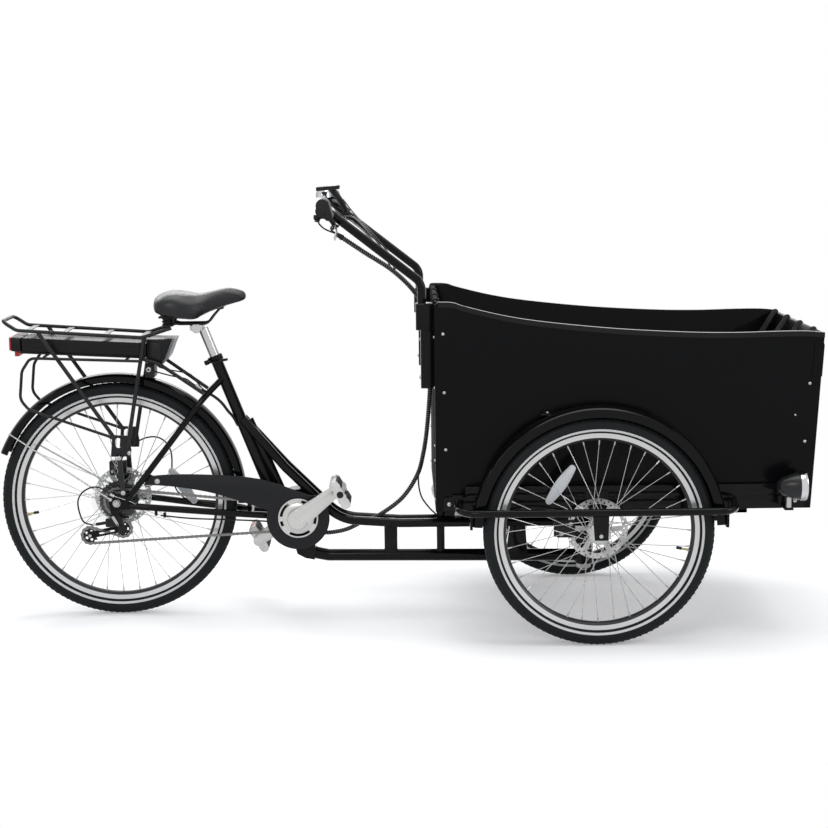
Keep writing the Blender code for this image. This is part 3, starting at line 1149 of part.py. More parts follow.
def make_box():
    outline = [(BOX_REAR, BOX_BOTTOM), (BOX_REAR, BOX_TOP_EDGE[0][1] - 0.006), *BOX_TOP_EDGE, BOX_FRONT_TOP,
               (front_panel_x(BOX_BOTTOM), BOX_BOTTOM)]
    outline = [flat(at(*point)) for point in outline]
    for side in (RIGHT, LEFT):
        shape = plate(outline, PANEL_INNER, BOX_HALF_WIDTH)
        piece("panel_" + SIDE_NAMES[side], for_side(shape, side), BOX_BLACK, "steering")
    between = PANEL_INNER - GAP
    top = BOX_FRONT_TOP[1]
    front = [(front_panel_x(BOX_BOTTOM), BOX_BOTTOM), (front_panel_x(top), top),
             (front_panel_x(top) - PANEL_THICKNESS, top), (front_panel_x(BOX_BOTTOM) - PANEL_THICKNESS, BOX_BOTTOM)]
    piece("panel_front", plate([flat(at(*point)) for point in front], -between, between), BOX_BLACK, "steering")

    inside = BOX_REAR + PANEL_THICKNESS
    shapes = [block(at(BOX_REAR, BOX_BOTTOM, -between), at(inside, BOX_TOP_EDGE[0][1], between))]
    cuts = []
    for side in (RIGHT, LEFT):
        y = side * BAR_Y
        back = BOX_REAR + 0.001
        shapes.append(block(at(BAR_FOOT_X - 0.0160, SOCKET_BOTTOM, y - 0.020), at(back, SOCKET_TOP, y + 0.020)))
        shapes.append(block(at(BAR_FOOT_X - 0.0040, 0.661, y - 0.0145), at(back, SOCKET_BOTTOM + 0.001, y + 0.0145)))
        cuts.append(rod(at(BAR_FOOT_X, BAR_FOOT_Z - GAP, y), at(BAR_FOOT_X, SOCKET_TOP + 0.01, y), BAR_BORE, 12))
    piece("panel_rear", fused(shapes, cuts), BOX_BLACK, "steering")

    floor_front = front_panel_x(BOX_BOTTOM) - PANEL_THICKNESS - GAP
    floor = block(at(inside + GAP, BOX_BOTTOM, -between), at(floor_front, BOX_FLOOR_Z, between))
    piece("box_floor", floor, BENCH_WOOD, "steering")
    bench_top = BENCH_HEIGHT + PANEL_THICKNESS
    bench = block(at(inside + GAP, BENCH_HEIGHT, -between), at(inside + BENCH_DEPTH, bench_top, between))
    piece("bench_rear", bench, BENCH_WOOD, "steering")
    face = front_panel_x(BENCH_HEIGHT) - PANEL_THICKNESS - GAP
    bench = block(at(face - BENCH_DEPTH, BENCH_HEIGHT, -between), at(face, bench_top, between))
    piece("bench_front", bench, BENCH_WOOD, "steering")


# Handlebars

def bar_route():
    corners = [at(BAR_FOOT_X, BAR_FOOT_Z, BAR_Y), at(BAR_FOOT_X, BAR_BEND_Z, BAR_Y), at(*BAR_CORNER, BAR_Y),
               at(*BAR_CORNER, BAR_END_Y)]
    return bent(corners, 0.040)


def make_handlebars():
    corner = BAR_CORNER
    route = bar_route()
    up_back = Vector((-0.58, 0, 0.81))
    for side in (RIGHT, LEFT):
        name = SIDE_NAMES[side]
        bar = tube(route, BAR_RADIUS, 10)
        piece("handlebar_" + name, for_side(bar, side), FRAME_BLACK, "steering")

        centre = at(*corner)
        sleeve = rod(at_y(centre, GRIP_INNER_Y), at_y(centre, GRIP_OUTER_Y), GRIP_RADIUS, 12)
        wing = plate(hull_outline(flat(centre), 0.012, flat(centre + up_back * 0.026), 0.009, 4),
                     GRIP_INNER_Y + 0.012, GRIP_OUTER_Y)
        hole = rod(at_y(centre, GRIP_INNER_Y - 0.01), at_y(centre, BAR_END_Y + GAP), BAR_BORE, 12)
        piece("grip_" + name, for_side(fused([sleeve, wing], [hole]), side), GRIP_RUBBER, "steering")
        make_brake_lever(side, centre)


def make_brake_lever(side, bar):
    name = SIDE_NAMES[side]
    pivot = lever_pivot(LEFT)
    knuckle = pivot - Vector((0, 0.022, 0))
    shapes = [rod(at_y(bar, 0.282), at_y(bar, 0.300), 0.0160, 12), rod(at_y(bar, 0.287), knuckle, 0.0085, 8)]
    for offset in (-0.0068, 0.0068):
        shapes.append(rod(knuckle + LEVER_AXIS * offset, pivot + LEVER_AXIS * offset + Vector((0, 0.004, 0)), 0.0036, 6))
    if side == RIGHT:
        middle = at_y(SHIFTER, -SHIFTER.y)
        low, high = SHIFTER.z + 0.0024, SHIFTER.z + 0.0165
        shapes.append(rod((middle.x, middle.y, low), (middle.x, middle.y, high), 0.013, 12))
        web = Vector((-0.690, low + 0.002, 0.279)), Vector((-0.716, high - 0.002, 0.293))
        shapes.append(block(at(web[1].x, web[0].y, web[0].z), at(web[0].x, web[1].y, web[1].z)))
    hole = tube(bar_route(), BAR_BORE, 12)
    piece("brake_mount_" + name, for_side(fused(shapes, [hole]), side), PLASTIC_BLACK, "steering")
    eye = rod(pivot - LEVER_AXIS * 0.0026, pivot + LEVER_AXIS * 0.0026, 0.0070, 12)
    blade = tube(bent([pivot + Vector((0, 0.003, 0)), pivot + Vector((0.004, 0.036, -0.003)),
                       pivot + Vector((0.001, 0.126, -0.012))], 0.08, 3), 0.0050, 8)
    trim = [rod(pivot + LEVER_AXIS * way * 0.0026, pivot + LEVER_AXIS * way * 0.02, 0.0130, 8) for way in (-1, 1)]
    lever = fused([eye, blade], trim)
    piece("brake_lever_" + name, for_side(lever, side), POST_ALLOY, "brake_lever_" + name)


def make_bar_fittings():
    outline = hull_outline((SHIFTER.x, SHIFTER.y), 0.009, (SHIFTER.x - 0.007, SHIFTER.y - 0.042), 0.006)
    piece("shift_lever", plate(outline, SHIFTER.z - 0.0020, SHIFTER.z + 0.0020, "XY"), PLASTIC_BLACK, "shift_lever")
    foot, corner = at(BAR_FOOT_X, BAR_BEND_Z, BAR_Y), at(*BAR_CORNER, BAR_Y)
    along = (corner - foot).normalized()
    middle = corner - along * 0.052
    profile = [(BAR_BORE, -0.007), (BAR_BORE, 0.007), (0.0165, 0.007), (0.0165, -0.007)]
    ring = turned(profile, along, middle, 12)
    case_low, case_high = at(-0.7405, 1.174, BAR_Y - 0.075), at(-0.675, 1.182, BAR_Y - 0.005)
    stalk = tube(bent([middle + Vector((0.002, -0.0135, 0.003)), at(-0.670, 1.146, BAR_Y - 0.026),
                       at(-0.695, 1.176, BAR_Y - 0.035)], 0.03, 2), 0.0055, 8)
    bar = rod(foot, corner, BAR_BORE, 12)
    piece("display", fused([ring, stalk, rounded(block(case_low, case_high), 0.002, 1)], [bar]),
          PLASTIC_BLACK, "steering")
    knots = [at(-0.660, 1.060, -0.240), at(-0.600, 1.018, -0.222), at(-0.520, 0.962, -0.190), at(-0.458, 0.890, -0.145),
             at(-0.430, 0.800, -0.080), at(-0.4277, 0.700, -0.030), at(-0.4277, 0.632, -0.018),
             at(-0.4366, 0.5185, -0.008), at(-0.4478, 0.443, 0), at(-0.4654, 0.382, 0), near_crank(0.288, 0.043),
             near_crank(0.224, -0.0043), near_crank(0.181, -0.0214), near_crank(0.130, -0.0450),
             near_crank(0.0763, -0.0535), near_crank(0.0632, -0.0460)]
    piece("cable_bundle", tube(smooth(knots, 2), CABLE_BUNDLE_RADIUS, 6), PLASTIC_BLACK, "steering")


make_bodies()
make_rear_wheel()
for wheel_side in (RIGHT, LEFT):
    make_front_wheel(wheel_side)
make_frame()
make_drive_unit()
make_chain()
make_cassette()
make_sprocket()
make_chain_guard()
make_cranks()
make_derailleur()
make_seat()
make_seat_clamp()
make_rack()
make_battery()
make_rear_fender()
make_steer_chassis()
make_front_details()
make_box()
make_handlebars()
make_bar_fittings()
for shape in list(workshop.objects):
    bpy.data.objects.remove(shape)
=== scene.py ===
"""An electric cargo tricycle: finished pieces, materials, floor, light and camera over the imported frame."""

from math import acos, asin, atan2, ceil, cos, degrees, pi, radians, sin

import bmesh
import bpy
from mathutils import Matrix, Vector


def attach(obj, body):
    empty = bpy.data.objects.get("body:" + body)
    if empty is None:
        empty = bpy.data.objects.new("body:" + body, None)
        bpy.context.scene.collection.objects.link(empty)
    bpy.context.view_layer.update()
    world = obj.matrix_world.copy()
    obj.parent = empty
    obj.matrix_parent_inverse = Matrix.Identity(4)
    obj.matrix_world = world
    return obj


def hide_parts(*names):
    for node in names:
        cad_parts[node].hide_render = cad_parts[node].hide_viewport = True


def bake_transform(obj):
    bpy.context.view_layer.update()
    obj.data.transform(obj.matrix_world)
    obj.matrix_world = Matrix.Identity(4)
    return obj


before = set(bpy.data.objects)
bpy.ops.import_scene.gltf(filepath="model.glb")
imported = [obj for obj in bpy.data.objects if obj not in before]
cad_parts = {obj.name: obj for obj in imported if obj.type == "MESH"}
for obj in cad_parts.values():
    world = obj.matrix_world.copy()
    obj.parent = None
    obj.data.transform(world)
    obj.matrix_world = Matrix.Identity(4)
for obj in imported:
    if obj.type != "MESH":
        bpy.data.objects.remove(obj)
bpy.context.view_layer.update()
scene = bpy.context.scene

RIGHT, LEFT = -1, 1
SIDE_NAMES = {RIGHT: "right", LEFT: "left"}
ACROSS, UPRIGHT, AHEAD = (0, 1, 0), (0, 0, 1), (1, 0, 0)

# Sizes, in metres, as in the CAD
STEER_X = 0.515
TRACK_HALF = 0.375
REAR_TYRE, REAR_RIM = 0.326, 0.2855
FRONT_TYRE, FRONT_RIM = 0.300, 0.260
SPOKES = 36
REAR_AXLE = Vector((-0.778, 0, REAR_TYRE))
CRANK = Vector((-0.281, 0, 0.275))
CRANK_LENGTH = 0.152
CRANK_ANGLE = radians(36.9)
SEAT_TOP = Vector((-0.5023, 0, 0.716))
SEAT_AXIS = Vector((-0.3858, 0, 1)).normalized()
SEAT_FORWARD = Vector((SEAT_AXIS.z, 0, -SEAT_AXIS.x))
GUIDE_PULLEY = Vector((-0.766, 0, 0.2495))
TENSION_PULLEY = Vector((-0.858, 0, 0.2315))
CHAIN_Y = -0.045
CHAIN_PITCH = 0.0127
BOX_HALF = 0.312
PANEL = 0.012
BOX_BOTTOM = 0.343
BOX_REAR_X = 0.095
BAR_Y = 0.240
BAR_RADIUS = 0.0115
BAR_CORNER = Vector((-0.186, 0, 1.133))
BAR_FOOT_X = 0.0637
BAR_BEND_Z = 0.938
HEADLIGHT = Vector((1.0086, -0.362, 0.411))
SHIFTER = Vector((-0.203, -0.285, 1.104))
LEVER_AXIS = Vector((0.90, 0, 0.44)).normalized()
SADDLE = Vector((SEAT_TOP.x - 0.0617, 0, 0.716))


# Places

def at(x, z, y=0.0):
    """A point whose x counts from the steering axis."""
    return Vector((STEER_X + x, y, z))


def near_axle(x, z, y=0.0):
    return REAR_AXLE + Vector((x, y, z))


def near_crank(x, z, y=0.0):
    return CRANK + Vector((x, y, z))


def seat_point(from_top, forward=0.0, y=0.0):
    return SEAT_TOP - SEAT_AXIS * from_top + SEAT_FORWARD * forward + Vector((0, y, 0))


def on_saddle(x, z, y=0.0):
    return SADDLE + Vector((x, y, z))


def at_y(point, y):
    return Vector((point[0], y, point[2]))


def flat(point):
    return (point[0], point[2])


def drawn(place, pairs):
    """A side view's outline from (x, z) pairs, which place turns into points."""
    return [flat(place(*pair)) for pair in pairs]


def polar(radius, angle):
    """An arm of this length in the side view."""
    return Vector((radius * cos(angle), 0, radius * sin(angle)))


def pitch_radius(teeth):
    return CHAIN_PITCH / (2 * sin(pi / teeth))


def pedal_centre(side):
    return CRANK + polar(-side * CRANK_LENGTH, CRANK_ANGLE)


# Nodes

def node(tree, kind, inputs=None, **settings):
    """A node with its settings, its inputs linked or set to a value."""
    made = tree.nodes.new(kind)
    for key, value in settings.items():
        setattr(made, key, value)
    for key, value in (inputs or {}).items():
        if isinstance(value, bpy.types.NodeSocket):
            tree.links.new(value, made.inputs[key])
        else:
            made.inputs[key].default_value = value
    return made


def node_group(name, kind, inputs, outputs):
    tree = bpy.data.node_groups.new(name, kind)
    for way, sockets in (("INPUT", inputs), ("OUTPUT", outputs)):
        for label, socket, *value in sockets:
            made = tree.interface.new_socket(label, in_out=way, socket_type="NodeSocket" + socket)
            if value:
                made.default_value = value[0]
    return tree, node(tree, "NodeGroupInput").outputs, node(tree, "NodeGroupOutput")


def calculated(tree, operation, *values):
    """The result of one sum on sockets or numbers."""
    return node(tree, "ShaderNodeMath", dict(enumerate(values)), operation=operation).outputs["Value"]


def place_on(tree, kind="Object"):
    return node(tree, "ShaderNodeTexCoord").outputs[kind]


def noise(tree, place, scale, detail, **more):
    inputs = {"Vector": place, "Scale": scale, "Detail": detail, **more}
    return node(tree, "ShaderNodeTexNoise", inputs).outputs["Fac"]


def spread_between(tree, value, low, high, new_low=0.0, new_high=1.0):
    """A value's range from low to high, drawn out or in to a new range."""
    inputs = {"Value": value, "From Min": low, "From Max": high, "To Min": new_low, "To Max": new_high}
    return node(tree, "ShaderNodeMapRange", inputs).outputs["Result"]


def bump(tree, height, distance, strength=1.0, **settings):
    inputs = {"Height": height, "Distance": distance, "Strength": strength}
    return node(tree, "ShaderNodeBump", inputs, **settings).outputs["Normal"]


# Shader groups: each returns its results by name

def uneven_gloss(tree, given):
    """Roughness that drifts over a surface, as on handled paint and plastic."""
    drift = noise(tree, place_on(tree), given["Scale"], 5.0, Roughness=0.6)
    return {"Roughness": spread_between(tree, drift, 0.35, 0.68, given["Glossy"], given["Dull"])}


def fine_bumps(tree, given):
    """Orange peel, casting or moulding grain, by its scale and height."""
    return {"Normal": bump(tree, noise(tree, place_on(tree), given["Scale"], 3.0), given["Height"])}


def edge_wear(tree, given):
    """A mask of the edges where hands and boots rub, broken up by grime."""
    point = node(tree, "ShaderNodeNewGeometry").outputs["Pointiness"]
    grime = noise(tree, place_on(tree), given["Scale"], 4.0)
    return {"Mask": calculated(tree, "MULTIPLY", spread_between(tree, point, given["Start"], 0.62), grime)}


def machined_lines(tree, given):
    """Fine lines that run round a turned or along a drawn piece, read from its own map in metres."""
    parts = node(tree, "ShaderNodeSeparateXYZ", {"Vector": place_on(tree, "UV")}).outputs
    along = calculated(tree, "MULTIPLY", parts["X"], 6.0)
    across_lines = calculated(tree, "MULTIPLY", parts["Y"], given["Lines"])
    grid = node(tree, "ShaderNodeCombineXYZ", {"X": along, "Y": across_lines}).outputs["Vector"]
    lines = noise(tree, grid, 1.0, 3.0)
    return {"Normal": bump(tree, lines, given["Height"]), "Shade": lines}


def pebble_grain(tree, given):
    """The pebbled grain of synthetic leather or a moulded grip."""
    place = place_on(tree)
    inputs = {"Vector": place, "Scale": given["Scale"]}
    cells = node(tree, "ShaderNodeTexVoronoi", inputs, feature="SMOOTH_F1").outputs["Distance"]
    mixed = calculated(tree, "MULTIPLY_ADD", noise(tree, place, 24.0, 2.0), 0.6, cells)
    return {"Normal": bump(tree, mixed, given["Height"], invert=True), "Creases": cells}


def webbing_weave(tree, given):
    """Woven belt webbing, along and across the belt's own map in metres."""
    parts = node(tree, "ShaderNodeSeparateXYZ", {"Vector": place_on(tree, "UV")}).outputs
    waves = [calculated(tree, "SINE", calculated(tree, "MULTIPLY", parts[axis], given["Threads"]))
             for axis in ("X", "Y")]
    cloth = calculated(tree, "MULTIPLY", *waves)
    return {"Normal": bump(tree, cloth, 0.0003), "Shade": cloth}


def wood_grain(tree, given):
    """Stained plywood: long grain along the machine with pores."""
    inputs = {"Vector": place_on(tree), "Scale": (0.12, 1.0, 1.0)}
    stretched = node(tree, "ShaderNodeMapping", inputs).outputs["Vector"]
    grain = noise(tree, stretched, given["Scale"], 8.0, Distortion=0.6)
    return {"Grain": grain, "Normal": bump(tree, grain, 0.0004, 0.6)}


def turned_away(tree, given):
    """A mask of the sides that turn away from the eye: there a metal's colour takes painted shade for the
    dark room it would mirror, and a lacquer coat shows.
    """
    facing = node(tree, "ShaderNodeLayerWeight", {"Blend": 0.5}).outputs["Facing"]
    return {"Mask": spread_between(tree, facing, given["Start"], given["End"])}


def shader_group(build, results, **numbers):
    """The group that build draws, with named numbers for inputs. Only a Normal is a vector."""
    inputs = [(label, "Float", value) for label, value in numbers.items()]
    outputs = [(label, "Vector" if label == "Normal" else "Float") for label in results]
    tree, given, end = node_group(build.__name__, "ShaderNodeTree", inputs, outputs)
    for label, socket in build(tree, given).items():
        tree.links.new(socket, end.inputs[label])
    return tree


UNEVEN_GLOSS = shader_group(uneven_gloss, ["Roughness"], Scale=12.0, Glossy=0.2, Dull=0.35)
FINE_BUMPS = shader_group(fine_bumps, ["Normal"], Scale=400.0, Height=0.0001)
EDGE_WEAR = shader_group(edge_wear, ["Mask"], Scale=60.0, Start=0.54)
MACHINED_LINES = shader_group(machined_lines, ["Normal", "Shade"], Lines=900.0, Height=0.00002)
PEBBLE_GRAIN = shader_group(pebble_grain, ["Normal", "Creases"], Scale=700.0, Height=0.0002)
WEBBING = shader_group(webbing_weave, ["Normal", "Shade"], Threads=700.0)
WOOD_GRAIN = shader_group(wood_grain, ["Grain", "Normal"], Scale=30.0)
TURNED_AWAY = shader_group(turned_away, ["Mask"], Start=0.25, End=0.9)


# Materials

def shader(name, color, specular=0.5, **sockets):
    """A material with its Principled values set on the shader's own sockets."""
    material = bpy.data.materials.new(name)
    material.use_nodes = True
    surface = material.node_tree.nodes["Principled BSDF"]
    surface.inputs["Base Color"].default_value = (*color, 1)
    surface.inputs["Specular IOR Level"].default_value = specular
    for key, value in sockets.items():
        surface.inputs[key.replace("_", " ")].default_value = value
    return material, material.node_tree, surface


def place_group(tree, group, **inputs):
    return node(tree, "ShaderNodeGroup", inputs, node_tree=group).outputs


def scaled(color, share):
    return tuple(channel * share for channel in color)


def two_tones(tree, surface, mask, low, high, worn):
    """Base Color from the written colour to the worn one by a mask's low and high ends."""
    tones = {"A": tuple(surface.inputs["Base Color"].default_value), "B": (*worn, 1)}
    factor = spread_between(tree, mask, low, high)
    mix = node(tree, "ShaderNodeMix", {"Factor": factor}, data_type="RGBA")
    for socket in mix.inputs:
        if socket.type == "RGBA":
            socket.default_value = tones[socket.name]
    result = [socket for socket in mix.outputs if socket.type == "RGBA"][0]
    tree.links.new(result, surface.inputs["Base Color"])


def finish(name, color, gloss, bumps=(500, 0.00003), worn=None, painted_dark_sides=None, edge_coat=None, **sockets):
    """A painted, moulded or cast finish: gloss that drifts by (scale, glossy, dull), fine bumps by
    (scale, height) and, where worn is given, rubbed edges. A metal takes instead the share of its colour
    left where it turns away from the eye, painted shade that stands for the dark room it would mirror,
    and a gloss paint edge_coat, the roughness of a lacquer that shows only there."""
    material, tree, surface = shader(name, color, **sockets)
    scale, glossy, dull = gloss
    rough = place_group(tree, UNEVEN_GLOSS, Scale=scale, Glossy=glossy, Dull=dull)
    tree.links.new(rough["Roughness"], surface.inputs["Roughness"])
    grain = place_group(tree, FINE_BUMPS, Scale=bumps[0], Height=bumps[1])
    tree.links.new(grain["Normal"], surface.inputs["Normal"])
    if worn:
        two_tones(tree, surface, place_group(tree, EDGE_WEAR, Scale=70.0)["Mask"], 0.1, 0.6, worn)
    # Painted shade: a metal's colour darkened where it turns away from the eye.
    if painted_dark_sides:
        two_tones(tree, surface, place_group(tree, TURNED_AWAY)["Mask"], 0.0, 1.0, scaled(color, painted_dark_sides))
    if edge_coat:
        mask = place_group(tree, TURNED_AWAY, Start=0.5, End=0.95)["Mask"]
        tree.links.new(mask, surface.inputs["Coat Weight"])
        surface.inputs["Coat Roughness"].default_value = edge_coat
    return material


def grained(name, color, group, tone, low, high, share, inputs, sockets):
    """A material with a group's normal, its colour scaled to a share by the group's tone."""
    material, tree, surface = shader(name, color, **sockets)
    made = place_group(tree, group, **inputs)
    tree.links.new(made["Normal"], surface.inputs["Normal"])
    two_tones(tree, surface, tone(tree, made), low, high, scaled(color, share))
    return material


def machined(name, color, lines, height, roughness, shade=0.4, **sockets):
    """Metal with turning or drawing lines from the piece's own map, its colour darker along the lines and, as
    painted shade, where it turns away.
    """
    def tone(tree, made):
        # The lines' own tone plus painted shade where the metal turns away from the eye.
        return calculated(tree, "MULTIPLY_ADD", made["Shade"], 0.3, place_group(tree, TURNED_AWAY)["Mask"])
    return grained(name, color, MACHINED_LINES, tone, 0.1, 1.1, shade, {"Lines": lines, "Height": height},
                   {"Roughness": roughness, **sockets})


def pebbled(name, color, scale, height, roughness, crease=0.6, **sockets):
    return grained(name, color, PEBBLE_GRAIN, lambda tree, made: made["Creases"], 0.2, 0.9, crease,
                   {"Scale": scale, "Height": height}, {"Roughness": roughness, **sockets})


def woven(name, color):
    return grained(name, color, WEBBING, lambda tree, made: made["Shade"], -0.6, 0.8, 2.4,
                   {"Threads": 2400.0}, {"Roughness": 0.7, "specular": 0.1})


def stained_wood(name, color):
    return grained(name, color, WOOD_GRAIN, lambda tree, made: made["Grain"], 0.4, 0.62, 1.9,
                   {"Scale": 34.0}, {"Roughness": 0.45, "Coat_Weight": 0.15})


FRAME_PAINT = finish("frame_paint", (0.0032, 0.0034, 0.004), (9, 0.1, 0.16), (300, 0.00001),
                     worn=(0.010, 0.010, 0.011), edge_coat=0.08, specular=0.14)
RACK_PAINT = finish("rack_paint", (0.011, 0.0115, 0.0125), (14, 0.34, 0.46), (900, 0.00005),
                    worn=(0.026, 0.026, 0.027), specular=0.22)
BOX_LACQUER = finish("box_lacquer", (0.003, 0.0032, 0.0037), (5, 0.16, 0.24), (40, 0.00012), specular=0.08)
BOX_TRIM = finish("box_trim", (0.0045, 0.0047, 0.0054), (9, 0.14, 0.2), (600, 0.00001), edge_coat=0.08,
                  specular=0.2)
PANEL_BACK = finish("panel_back", (0.004, 0.0042, 0.0048), (9, 0.6, 0.75), (600, 0.00003), specular=0.04)
FENDER_GLOSS = finish("fender_gloss", (0.0022, 0.0023, 0.0027), (8, 0.06, 0.12), (300, 0.000008),
                      specular=0.14)
GUARD_PLASTIC = finish("guard_plastic", (0.009, 0.0095, 0.011), (10, 0.36, 0.5), (1200, 0.00006),
                       specular=0.2)
BLACK_PLASTIC = finish("black_plastic", (0.010, 0.0103, 0.0112), (16, 0.32, 0.46), (1400, 0.00005),
                       specular=0.2)
CASE_PLASTIC = finish("case_plastic", (0.0065, 0.0068, 0.0075), (12, 0.3, 0.42), (1800, 0.00004),
                      specular=0.18)
GREY_PLASTIC = finish("grey_plastic", (0.14, 0.145, 0.155), (18, 0.3, 0.42), (1400, 0.00004), specular=0.3)
TYRE_RUBBER = finish("tyre_rubber", (0.0105, 0.0125, 0.0136), (22, 0.5, 0.68), (700, 0.00008), specular=0.12)
TYRE_STRIPE = finish("tyre_stripe", (0.62, 0.62, 0.61), (30, 0.4, 0.6), (600, 0.00003))
CABLE_JACKET = finish("cable_jacket", (0.008, 0.008, 0.0087), (40, 0.32, 0.44), (900, 0.00003), specular=0.2)
GRIP_RUBBER = pebbled("grip_rubber", (0.011, 0.011, 0.012), 900, 0.00025, 0.48, specular=0.2)
SADDLE_COVER = pebbled("saddle_cover", (0.011, 0.0116, 0.013), 1500, 0.0001, 0.36, 0.8, specular=0.3)
PEDAL_GRIP = pebbled("pedal_grip", (0.011, 0.011, 0.012), 1400, 0.0003, 0.7, specular=0.2)
# Of the metals and the lamp lens below, all but rim_dark and cog_steel darken their colour where they turn
# away from the eye: painted shade.
RIM_BAND = machined("rim_band", (0.6, 0.6, 0.6), 2600, 0.00002, 0.3, Metallic=0.85)
RIM_DARK = finish("rim_dark", (0.03, 0.031, 0.034), (20, 0.3, 0.42), worn=(0.06, 0.06, 0.06), Metallic=0.4)
SPOKE_STEEL = finish("spoke_steel", (0.46, 0.46, 0.46), (60, 0.22, 0.34), painted_dark_sides=0.5, Metallic=0.8)
HUB_ALLOY = machined("hub_alloy", (0.5, 0.5, 0.5), 1800, 0.00001, 0.3, Metallic=0.85)
DISC_STEEL = finish("disc_steel", (0.5, 0.5, 0.495), (50, 0.24, 0.38), (1600, 0.00002), painted_dark_sides=0.5,
                    Metallic=0.8)
CRANK_ALLOY = finish("crank_alloy", (0.58, 0.575, 0.56), (14, 0.26, 0.36), (900, 0.00002), painted_dark_sides=0.3,
                     Metallic=0.7)
POST_ALLOY = machined("post_alloy", (0.56, 0.56, 0.555), 1500, 0.00001, 0.16, 0.16, Metallic=0.95)
CHROME = finish("chrome", (0.58, 0.59, 0.61), (20, 0.05, 0.11), painted_dark_sides=0.12, Metallic=1.0)
ZINC = finish("zinc_bolts", (0.46, 0.46, 0.445), (80, 0.25, 0.4), painted_dark_sides=0.3, Metallic=0.8)
CHAIN_STEEL = finish("chain_steel", (0.19, 0.187, 0.18), (90, 0.3, 0.45), painted_dark_sides=0.3, Metallic=0.8)
COG_STEEL = finish("cog_steel", (0.014, 0.014, 0.016), (70, 0.3, 0.45), worn=(0.09, 0.088, 0.085),
                   Metallic=0.6)
BRASS = finish("valve_brass", (0.45, 0.37, 0.17), (80, 0.25, 0.4), painted_dark_sides=0.4, Metallic=0.8)
RED_LENS = finish("red_lens", (0.42, 0.006, 0.012), (60, 0.1, 0.2), (300, 0.0002), specular=0.4)
CLEAR_REFLECTOR = finish("clear_reflector", (0.66, 0.68, 0.7), (60, 0.12, 0.24), (420, 0.0009),
                         Transmission_Weight=0.2, IOR=1.35)
LAMP_LENS = finish("lamp_lens", (0.34, 0.355, 0.37), (60, 0.05, 0.1), (260, 0.0009), painted_dark_sides=0.4,
                   Metallic=0.4)
HOUSING = finish("lamp_housing", (0.010, 0.0105, 0.0115), (12, 0.24, 0.32), (600, 0.00002), edge_coat=0.2,
                 specular=0.3)
SCREEN = finish("display_screen", (0.006, 0.007, 0.0075), (30, 0.05, 0.1), specular=0.3)
BELT = woven("belt_webbing", (0.006, 0.006, 0.0065))
STAINED_PLY = stained_wood("stained_plywood", (0.011, 0.0102, 0.0094))
CLEAR_DISC = shader("clear_disc", (0.9, 0.92, 0.92), Roughness=0.16, Transmission_Weight=1.0, IOR=1.2)[0]


# Shapes: each returns a mesh in the frame's own coordinates

def mesh_of(bm, closed=True):
    """The bmesh as a mesh, its doubles merged and its faces turned outwards."""
    bmesh.ops.remove_doubles(bm, verts=bm.verts, dist=0.000002)
    if closed:
        bmesh.ops.recalc_face_normals(bm, faces=bm.faces)
    return plain_mesh(bm)


def plain_mesh(bm, name="shape"):
    mesh = bpy.data.meshes.new(name)
    bm.to_mesh(mesh)
    bm.free()
    return mesh


def evaluated(data, add_modifiers=None):
    """A mesh with modifiers, applied, or a curve as a mesh."""
    obj = bpy.data.objects.new("workpiece", data)
    scene.collection.objects.link(obj)
    if add_modifiers:
        add_modifiers(obj)
    graph = bpy.context.evaluated_depsgraph_get()
    made = bpy.data.meshes.new_from_object(obj.evaluated_get(graph))
    bpy.data.objects.remove(obj)
    return made


def rounded(mesh, width, segments=2, angle=35):
    def bevel(obj):
        edge = obj.modifiers.new("edge", "BEVEL")
        edge.width = width
        edge.segments = segments
        edge.limit_method = "ANGLE"
        edge.angle_limit = radians(angle)
    return evaluated(mesh, bevel)


def moved(mesh, matrix):
    mesh.transform(matrix)
    return mesh


def for_side(mesh, side):
    """A mesh drawn for the left side, put on the side asked for."""
    if side == RIGHT:
        mesh.transform(Matrix.Diagonal((1, -1, 1, 1)))
        mesh.flip_normals()
    return mesh


def turned(profile, centre=(0, 0, 0), axis=ACROSS, sides=64, start=0.0, sweep=2 * pi, ring=True, bands=None):
    """Turned from (radius, place along the axis) points, mapped in metres. bands gives a segment's
    material index."""
    bm = bmesh.new()
    uv = bm.loops.layers.uv.new("UVMap")
    whole = sweep > 2 * pi - 0.0001
    turn = Vector(UPRIGHT).rotation_difference(Vector(axis)).to_matrix()
    count = sides if whole else sides + 1
    columns = []
    for step in range(count):
        angle = start + sweep * step / sides
        columns.append([bm.verts.new(Vector(centre) + turn @ Vector((r * cos(angle), r * sin(angle), y)))
                        for r, y in profile])
    rows = len(profile) if ring else len(profile) - 1
    lengths = [0.0]
    for index in range(rows):
        (r1, y1), (r2, y2) = profile[index], profile[(index + 1) % len(profile)]
        lengths.append(lengths[-1] + ((r2 - r1) ** 2 + (y2 - y1) ** 2) ** 0.5)
    mean = sum(r for r, y in profile) / len(profile)
    for step in range(sides):
        near, far = columns[step], columns[(step + 1) % count]
        u1, u2 = (mean * sweep * s / sides for s in (step, step + 1))
        for index in range(rows):
            follow = (index + 1) % len(profile)
            face = bm.faces.new((near[index], near[follow], far[follow], far[index]))
            face.material_index = (bands or {}).get(index, 0)
            v1, v2 = lengths[index], lengths[index + 1]
            for loop, place in zip(face.loops, ((u1, v1), (u1, v2), (u2, v2), (u2, v1))):
                loop[uv].uv = place
    if not whole and ring:
        bm.faces.new(columns[0])
        bm.faces.new(columns[-1])
    return mesh_of(bm)


